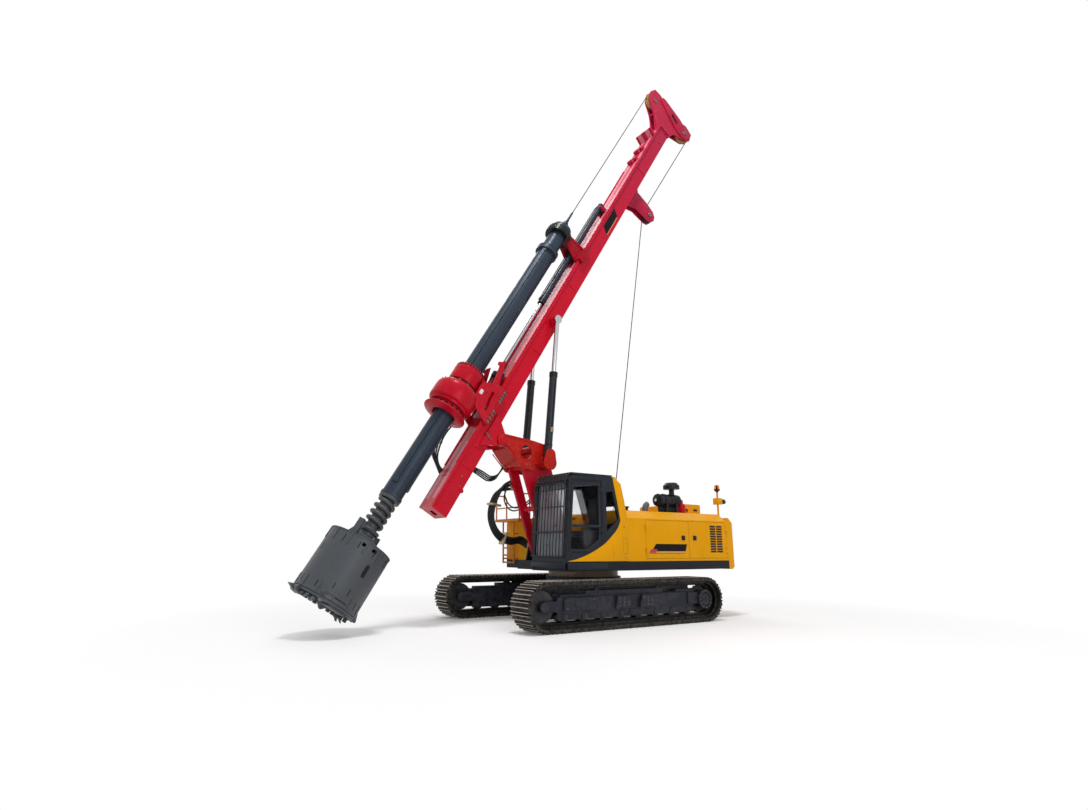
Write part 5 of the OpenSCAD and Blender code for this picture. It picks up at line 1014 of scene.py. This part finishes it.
PLATE_Y = 0.3395  # just inside the linkage's side faces
PINS = ((1.27, 3.33, 0.10, 0.065), (1.70, 3.19, 0.075, 0.045))  # x, z, radius of the cap, radius of its bolts' circle
p = Piece("triangle_trim", "triangle", ORANGE_RED, "orange_red_paint")
for s in (1, -1):
    y = sided(s, PLATE_Y, 0.352)
    p.prism([(2.27, 3.82), (1.56, 3.735), (1.56, 3.712), (2.27, 3.797)], *y, SIDE, 0.003)
    p.prism([(1.80, 3.12), (2.15, 3.50), (2.165, 3.485), (1.83, 3.12)], *y, SIDE, 0.003)
    p.lathe(ring(0.165, 0, 0.012, 0.145), facing((1.7463, s * PLATE_Y, 3.4876), Y * s), 40)
    for x, z, r, _ in PINS:
        p.lathe(disc(r, 0, 0.02, 0.006), facing((x, s * PLATE_Y, z), Y * s), 32)
p.done()
p = Piece("link_bolts", "triangle", BOLT)
for s in (1, -1):
    for x, z, _, r in PINS:
        p.bolt_ring((x, s * 0.359, z), (X, Z), r, 4, Y * s, 0.011, 0.013, 0.4)
p.done()
p = Piece("deck_pins", "upper", BOLT)
for s in (1, -1):
    for x, z in ((0.71, 1.60), (1.14, 1.46)):
        p.lathe(disc(0.075, 0, 0.02, 0.006), facing((x, s * PLATE_Y, z), Y * s), 28)
p.done()

FOOT, EYE = Vector((1.25, 0, 3.45)), mast(0.36, 0, 3.16)
CYLINDER_Y = 0.43
AX = (EYE - FOOT).normalized()
p = Piece("cylinder_glands", "mast_barrels", BLACK)
q = Piece("cylinder_ports", "mast_barrels", ZINC)
for s in (-1, 1):
    def along(aside, up):
        """A point out from the cylinder's axis, and up along it."""
        return FOOT + Y * s * (CYLINDER_Y + aside) + AX * up

    m = facing(along(0, 0), AX)
    p.lathe(ring(0.094, 1.77, 1.868, 0.054), m, 36)
    p.lathe(ring(0.090, 0.20, 0.24, 0.07), m, 36)
    for i in range(8):
        a = pi / 4 * i
        p.lathe(disc(0.010, 1.867, 1.878, 0.002), m @ at(0.074 * cos(a), 0.074 * sin(a), 0), 10)
    port = facing(along(0.083, 0.55), Y * s)
    q.box((-0.035, -0.05, 0), (0.035, 0.05, 0.03), 0.005, port)
    q.lathe(disc(0.018, 0.028, 0.06, 0.003), port @ at(0.0, 0.02, 0), 14)
    q.lathe(disc(0.014, 0.028, 0.055, 0.003), port @ at(0.0, -0.025, 0), 14)
    p.tube([along(0.10, 0.57), along(0.103, 0.8), along(0.103, 1.6), along(0.088, 1.72)], 0.011, 8)
p.done()
q.done()

# Kelly

p = Piece("kelly_rings", "kelly", KELLY_GREY, "kelly_steel")
for z in (4.66, 4.76):
    p.lathe(ring(0.268, z, z + 0.02, 0.20), KELLY, 48)
p.lathe(ring(0.222, -2.312, -2.26, 0.19), KELLY, 48)
for i in range(3):
    for z in (-2.05, 4.58):
        p.prism([(0.19, -0.06), (0.234, -0.05), (0.234, 0.05), (0.19, 0.06)], z, z + 0.09, turned(i * 120 + 45), 0.006)
p.done()
p = Piece("kelly_bearing", "kelly_guide", BLACK)
for i in range(32):
    p.box((0.298, -0.016, 5.325), (0.314, 0.016, 5.435), 0.004, turned(360 * i / 32))
p.lathe(ring(0.307, 5.298, 5.462, 0.19), KELLY, 72)
p.lathe(ring(0.306, 5.305, 5.32, 0.19), KELLY, 60)
p.lathe(ring(0.306, 5.44, 5.458, 0.19), KELLY, 60)
p.done()
p = Piece("guide_trim", "kelly_guide", DEEP_RED, "red_paint")
for s in (1, -1):
    y = sided(s, 0.1095, 0.160)
    p.prism([(0.602, 5.45), (1.12, 5.45), (1.12, 5.47), (0.602, 5.47)], *y, MSIDE, 0.004)
    p.prism([(0.50, 5.50), (0.62, 5.475), (1.36, 5.463), (1.40, 5.475), (1.40, 5.50), (0.62, 5.53), (0.50, 5.56)],
            *y, MSIDE, 0.006)
    p.box((0.49, -0.012, 5.02), (0.645, 0.012, 5.48), 0.004, MAST @ at(0, s * 0.337, 0))
p.done()
SWIVEL = 5.9306  # the rope's pin, up the mast
p = Piece("swivel_form", "kelly_guide", KELLY_GREY, "kelly_steel")
m = KELLY @ at(0, 0, SWIVEL)
p.lathe([(0, -0.33), (0.075, -0.33), (0.08, -0.30), (0.08, -0.22), (0.06, -0.20), (0.05, -0.19), (0.05, -0.16),
         (0.066, -0.15), (0.066, -0.09), (0.045, -0.07), (0.03, -0.06), (0, -0.06)], m, 32)
for y in (0.03, -0.03):
    p.box((-0.03, y - 0.009, -0.07), (0.03, y + 0.009, 0.02), 0.006, m)
p.lathe(disc(0.018, -0.05, 0.05), across(mast(KT, 0, SWIVEL - 0.005)), 16)
p.tube([mast(KT, 0, SWIVEL + h) for h in (-0.02, 0.10, 0.34)], [0.03, 0.028, 0.016], 14)
for z in (0.12, 0.19, 0.26):
    p.box((-0.026, -0.022, z), (0.026, 0.022, z + 0.025), 0.006, m)
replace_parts(p.done(), "kelly_swivel")

COIL_STEPS, COIL_TURNS, COIL_R = 24, 4, 0.158
p = Piece("spring_coil", "kelly", SPRING, "kelly_steel")
steps = COIL_STEPS * COIL_TURNS
p.tube([mast(KT, 0, -2.43 - 0.54 * i / steps) + spoke(2 * pi * i / COIL_STEPS) * COIL_R for i in range(steps + 1)],
       0.043, 14)
p.lathe([(0, -2.31), (0.21, -2.31), (0.215, -2.32), (0.215, -2.37), (0.205, -2.385), (0, -2.385)], KELLY, 48)
p.lathe([(0, -2.38), (0.125, -2.38), (0.125, -3.02), (0.20, -3.03), (0.205, -3.045), (0.19, -3.09), (0.15, -3.10),
         (0.15, -3.16), (0, -3.16)], KELLY, 48)
p.box((-0.10, -0.10, -3.29), (0.10, 0.10, -3.10), 0.012, KELLY)
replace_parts(p.done(), "kelly_foot")

# Bucket

SHELL = 0.60  # the bucket's radius
p = Piece("bucket_tabs", "kelly", BUCKET, "bucket_steel")
for a in range(-127, 233, 30):
    for z0, z1 in ((-3.56, -3.345), (-4.475, -4.27)):
        p.box((SHELL, -0.014, z0), (0.617, 0.014, z1), 0.003, turned(a))
p.lathe(ring(0.612, -3.345, -3.325, 0.58), KELLY, 72)
p.lathe([(0.578, -4.4795), (0.610, -4.4795), (0.612, -4.46), (0.605, -4.43), (0.578, -4.43)], KELLY, 72)
for a in (45, 225):
    p.prism([(-0.16, -3.34), (0.16, -3.34), (0.06, -3.16), (-0.06, -3.16)], 0.43, 0.44, turned(a) @ OUTWARD, 0.003)
for y in (0.13, -0.13):
    for w in (1, -1):
        p.prism([(w * 0.16, -3.33), (w * 0.56, -3.33), (w * 0.16, -3.20)], y - 0.012, y + 0.012, KELLY @ SIDE, 0.003)
m = turned(64) @ Matrix.Rotation(pi / 2, 4, "Y") @ at(4.40, 0, 0)
p.lathe(disc(0.055, SHELL, 0.635, 0.008), m, 28)
p.lathe(disc(0.03, 0.63, 0.655, 0.006), m, 20)
for a in range(68, 108, 5):
    p.box((SHELL, -0.03, -4.39), (0.618, 0.03, -4.35), 0.004, turned(a))
p.done()
# Near-black under the tabs, in the slits and in a rounded slot of the shell: painted shade in the openings.
p = Piece("bucket_dark", "kelly", PAINTED_SHADE)
for a in range(86, 110, 4):
    p.box((SHELL, -0.0215, -4.412), (0.6062, 0.0215, -4.398), 0.0, turned(a))
SLITS = ((9, -3.80, -3.65), (100, -4.28, -4.16), (73, -4.30, -4.19), (43, -3.55, -3.40), (72, -3.53, -3.40),
         (102, -3.53, -3.40), (137, -3.53, -3.40), (126, -4.42, -4.28), (46, -4.40, -4.28), (11, -4.40, -4.28))
for a, z0, z1 in SLITS:
    p.box((SHELL, -0.009, z0), (0.6066, 0.009, z1), 0.0, turned(a))
p.prism(rounded(-0.040, -3.90, 0.040, -3.66, 0.038, 6), 0.595, 0.6068, turned(105) @ OUTWARD)
p.done()
p = Piece("bucket_teeth", "bucket_floor", BUCKET, "bucket_steel")
for a, r in ((30, 0.40), (42, 0.41), (54, 0.40), (196, 0.30), (212, 0.32)):
    m = turned(a) @ SIDE
    p.prism([(r, -4.525), (r + 0.17, -4.525), (r + 0.20, -4.60), (r + 0.12, -4.585)], -0.035, 0.035, m, 0.006)
    p.prism([(r + 0.10, -4.56), (r + 0.17, -4.56), (r + 0.235, -4.635)], -0.028, 0.028, m, 0.004)
for a, tip in ((-4, 0.66), (6, 0.74), (17, 0.67)):
    p.prism([(0.34, -4.527), (0.56, -4.527), (0.62, -4.49), (tip, -4.535), (0.60, -4.60), (0.50, -4.615),
             (0.36, -4.56)], -0.05, 0.05, turned(a) @ basis(X, Z, -Y), 0.006)
p.box((0.26, -0.20, -4.565), (0.55, 0.20, -4.52), 0.008, turned(104))
p.lathe([(0.55, -4.527), (0.585, -4.527), (0.597, -4.515), (0.597, -4.49), (0.55, -4.49)], KELLY, 72)
p.lathe([(0, -4.63), (0.03, -4.62), (0.09, -4.56), (0.13, -4.527), (0, -4.527)], KELLY, 32)
p.done()

# Steps, tank box and winch

p = Piece("step_trim", "upper", WALK_ORANGE, "orange_paint")
for i in range(4):
    z = 1.176 + i * 0.645 / 4
    p.box((1.14, -1.475, z), (1.19, -1.035, z + 0.024), 0.004)
for y in (-1.49, -0.53):
    rail = ((1.06, 2.15), (1.06, 2.62), (1.10, 2.70), (1.30, 2.70), (1.34, 2.62), (1.34, 2.15))
    p.tube([(x, y, z) for x, z in rail], 0.017, 10)
p.tube([(1.34, -1.49, 2.40), (1.34, -0.53, 2.40)], 0.015, 10)
p.done()
p = Piece("tank_details", "upper", BLACK)
p.box((1.048, -0.62, 1.52), (1.064, -0.55, 1.60), 0.004)
for x in (0.6, 0.1):
    p.lathe(disc(0.06, 0, 0.05, 0.008), at(x, -1.0, 2.15), 28)
p.done()
p = Piece("tank_seams", "upper", YELLOW, "yellow_paint")
p.box((1.049, -1.44, 1.30), (1.058, -0.80, 2.02), 0.004)
p.boxes(0.003, ID, (0.45, -1.505, 1.30, 1.0, -1.499, 2.0), (-0.25, -1.505, 1.30, 0.40, -1.499, 2.0))
p.done()
DRUM_X, DRUM_Z, DRUM_HALF = -0.6, 1.95, 0.235
WINDS, WIND_R, ROPE_R = 20, 0.2715, 0.0108
p = Piece("wound_rope", "winch_drum", ROPE, "rope_steel")
for i in range(WINDS):
    y = DRUM_HALF * (2 * i / (WINDS - 1) - 1)
    p.lathe(arc(WIND_R, 0, ROPE_R, 0, 360, 8), facing((DRUM_X, y, DRUM_Z), Y), 40)
p.done()

# Ropes

LAY, STRAND_AT, STRAND_R = 0.16, 0.0068, 0.0042


def strand_rope(name, a, b, bodies, node):
    """A straight rope of six laid strands from a to b, in place of a CAD node."""
    run = (b - a).length
    turns = run / LAY
    steps = int(turns * 10)
    m = facing(a, b - a)
    p = Piece(name, (*bodies, tuple(a), tuple(a + (b - a) * 0.9)), ROPE, "rope_steel")
    for k in range(6):
        turn = [pi / 3 * k + 2 * pi * turns * i / steps for i in range(steps + 1)]
        p.tube([(STRAND_AT * cos(w), STRAND_AT * sin(w), run * i / steps) for i, w in enumerate(turn)], STRAND_R, 5, m)
    p.tube([(0, 0, run * i / 40) for i in range(41)], 0.004, 6, m)
    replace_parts(p.done(60), node)


ROPE_LOW = Vector((-0.8713, 0, DRUM_Z))  # where the rope leaves the drum
ROPE_LEAVE = Vector((-2.3433, 0, 10.3920))
strand_rope("rope_tail_form", ROPE_LOW, ROPE_LEAVE, ("triangle", "mast"), "rope_tail")
strand_rope("rope_kelly_form", mast(KT, 0, SWIVEL), mast(KT, 0, 11.60), ("kelly_guide", "mast"), "rope_kelly")

# Hoses


def hose(name, points, d, body):
    """A hydraulic hose with crimped ends, a cord that goes back into the object."""
    pts = spline(points)
    o = Piece(name, body, RUBBER).tube(pts, d / 2, 10).done(60)
    f = Piece(name + "_ends", body, ZINC)
    for a, b in ((pts[0], pts[1]), (pts[-1], pts[-2])):
        f.lathe([(0, -d * 0.2), (d * 0.62, -d * 0.2), (d * 0.66, d * 0.5), (d * 0.6, d * 1.3), (d * 0.5, d * 1.4),
                 (0, d * 1.4)], facing(a, b - a), 12)
    f.done()


MAST_HEAD = ("mast", "rotary_head", tuple(mast(0.62, -0.3, -1.1)), tuple(mast(0.62, -0.3, -0.1)))
for i in range(4):
    k = i * 0.045
    hose("head_hose_%d" % i, [
        mast(0.80 + k * 0.4, -0.36 - k * 0.5, 0.02), mast(0.86 + k, -0.39 - k * 0.5, -0.10),
        mast(0.90 + k, -0.41 - k * 0.5, -0.35), mast(0.88 + k, -0.41 - k * 0.5, -0.62),
        mast(0.80 + k * 0.8, -0.40 - k * 0.4, -0.90), mast(0.66 + k * 0.5, -0.37 - k * 0.3, -1.06),
        mast(0.48, -0.33 - k * 0.2, -1.10 - k), mast(0.40, -0.268, -1.10 - k)], 0.036, MAST_HEAD)

for i in range(3):
    k = i * 0.05
    hose("leg_hose_%d" % i, [
        (1.63 - k * 0.4, -0.335, 2.96 - k * 1.8), (1.83 + k * 0.6, -0.41 - k, 2.82 - k),
        (2.00 + k * 0.5, -0.45 - k, 2.50), (2.07 + k * 0.4, -0.46 - k, 2.18),
        (2.00 + k * 0.2, -0.46 - k, 1.94 - k * 0.6), (1.83, -0.45 - k, 1.77 - k), (1.58, -0.43 - k, 1.70 - k),
        (1.36, -0.40 - k, 1.72 - k), (1.16, -0.36, 1.56 - k)],
        0.066, ("front_link", "upper", (1.85, -0.43, 2.95), (1.25, -0.43, 1.8)))
p = Piece("leg_hose_clamps", "front_link", ZINC)
for o, n in (((2.03, -0.51, 2.42), (-0.15, 0, 1)), ((1.78, -0.50, 1.72), (1, 0, 0.35))):
    p.box((-0.10, -0.15, -0.025), (0.10, 0.12, 0.025), 0.02, facing(o, n))
p.done()
for i in range(2):
    k = i * 0.06
    hose("link_hose_%d" % i, [
        (1.64, -0.305, 2.98 - k), (1.78, -0.34, 2.84 - k), (1.83, -0.36 - k * 0.5, 2.62 - k),
        (1.72, -0.37 - k, 2.43 - k), (1.55, -0.37 - k, 2.36 - k), (1.36, -0.34 - k * 0.5, 2.43 - k),
        (1.22, -0.28, 2.56 - k), (1.13, -0.25, 2.66 - k)],
        0.030, "front_link")
for i in range(4):
    y = -0.285 + 0.02 * i
    k = i * 0.035
    hose("mast_hose_%d" % i, [
        mast(0.205, y + 0.05, -0.60 - k), mast(0.12, y + 0.04, -0.66 - k), (2.44 + k, y, 3.09 - k),
        (2.24 + k, y, 3.00 - k), (2.06 + k, y, 3.05 - k), (1.95 + k, y - 0.001, 3.19 - k), (1.93, y, 3.32 - k)],
        0.032, ("mast", "triangle", tuple(mast(0.2, y, -0.6)), (2.0, y, 3.12)))

p = Piece("head_hose_clamp", MAST_HEAD, ZINC)
p.box((-0.03, -0.09, -0.02), (0.20, 0.02, 0.02), 0.012, basis(MT, Y, MU, mast(0.88, -0.43, -0.60)))
p.done()

# Floor, surroundings and lamps

FLOOR_LIFT, FLOOR_NEAR, FLOOR_FAR = 0.09, 5.0, 9.5
SOFT_LIGHT = 0.42
LAMPS = (("key", (4, 5, 22), (1, 0, 3), 2050, 4.5), ("fill", (3, 19, 8), (0, 0, 3), 680, 10),
         ("back", (-5, -13, 18), (0, 0, 5), 700, 10))


def seen_rays(g):
    """1 for the rays that show the surroundings: the camera's, and those that metal and glass send on."""
    ray = g.node("LightPath").outputs
    sent = g.math("MAXIMUM", ray["Is Glossy Ray"], ray["Is Transmission Ray"])
    return g.math("MAXIMUM", ray["Is Camera Ray"], sent)


def white(g, kind, strength):
    return g.put(g.node(kind), Color=(1, 1, 1), Strength=strength).outputs[0]


def add_floor():
    """A pale floor that keeps the shadow near the object and turns white further off."""
    me = bpy.data.meshes.new("floor")
    bm = bmesh.new()
    bmesh.ops.create_grid(bm, x_segments=1, y_segments=1, size=150)
    bm.to_mesh(me)
    bm.free()
    floor = bpy.data.objects.new("floor", me)
    floor.location = (0, 0, -0.002)
    scene.collection.objects.link(floor)
    mat, g, bsdf, coord = new_material("floor")
    tint = g.mix(g.noise(coord, 0.4, 3.0, 0.55), (0.95, 0.945, 0.94), (0.97, 0.965, 0.96))
    g.put(bsdf, Base_Color=tint, Roughness=0.9)
    reach = g.join("VectorMath", coord, operation="LENGTH").outputs["Value"]
    far = g.times(g.span(reach, FLOOR_NEAR, FLOOR_FAR), seen_rays(g))
    lift = white(g, "Emission", g.times(seen_rays(g), FLOOR_LIFT))
    near = g.join("AddShader", bsdf.outputs[0], lift).outputs[0]
    whole = g.join("MixShader", far, near, white(g, "Emission", 1.0)).outputs[0]
    g.put(mat.node_tree.nodes["Material Output"], Surface=whole)
    me.materials.append(mat)


def add_light():
    """A soft world that shows white, and three lamps."""
    scene.world = bpy.data.worlds.new("world")
    scene.world.use_nodes = True
    nodes = scene.world.node_tree.nodes
    g = Shader(scene.world.node_tree)
    soft = g.put(nodes["Background"], Color=(0.97, 0.98, 1.0), Strength=SOFT_LIGHT).outputs[0]
    both = g.join("MixShader", seen_rays(g), soft, white(g, "Background", 1.0)).outputs[0]
    g.put(nodes["World Output"], Surface=both)
    for name, place, target, energy, size in LAMPS:
        data = bpy.data.lights.new(name, "AREA")
        data.energy, data.size, data.shape = energy, size, "DISK"
        lamp = bpy.data.objects.new(name, data)
        lamp.location = place
        lamp.rotation_euler = (Vector(target) - Vector(place)).to_track_quat("-Z", "Y").to_euler()
        scene.collection.objects.link(lamp)


add_floor()
add_light()
scene.view_settings.view_transform = "Standard"
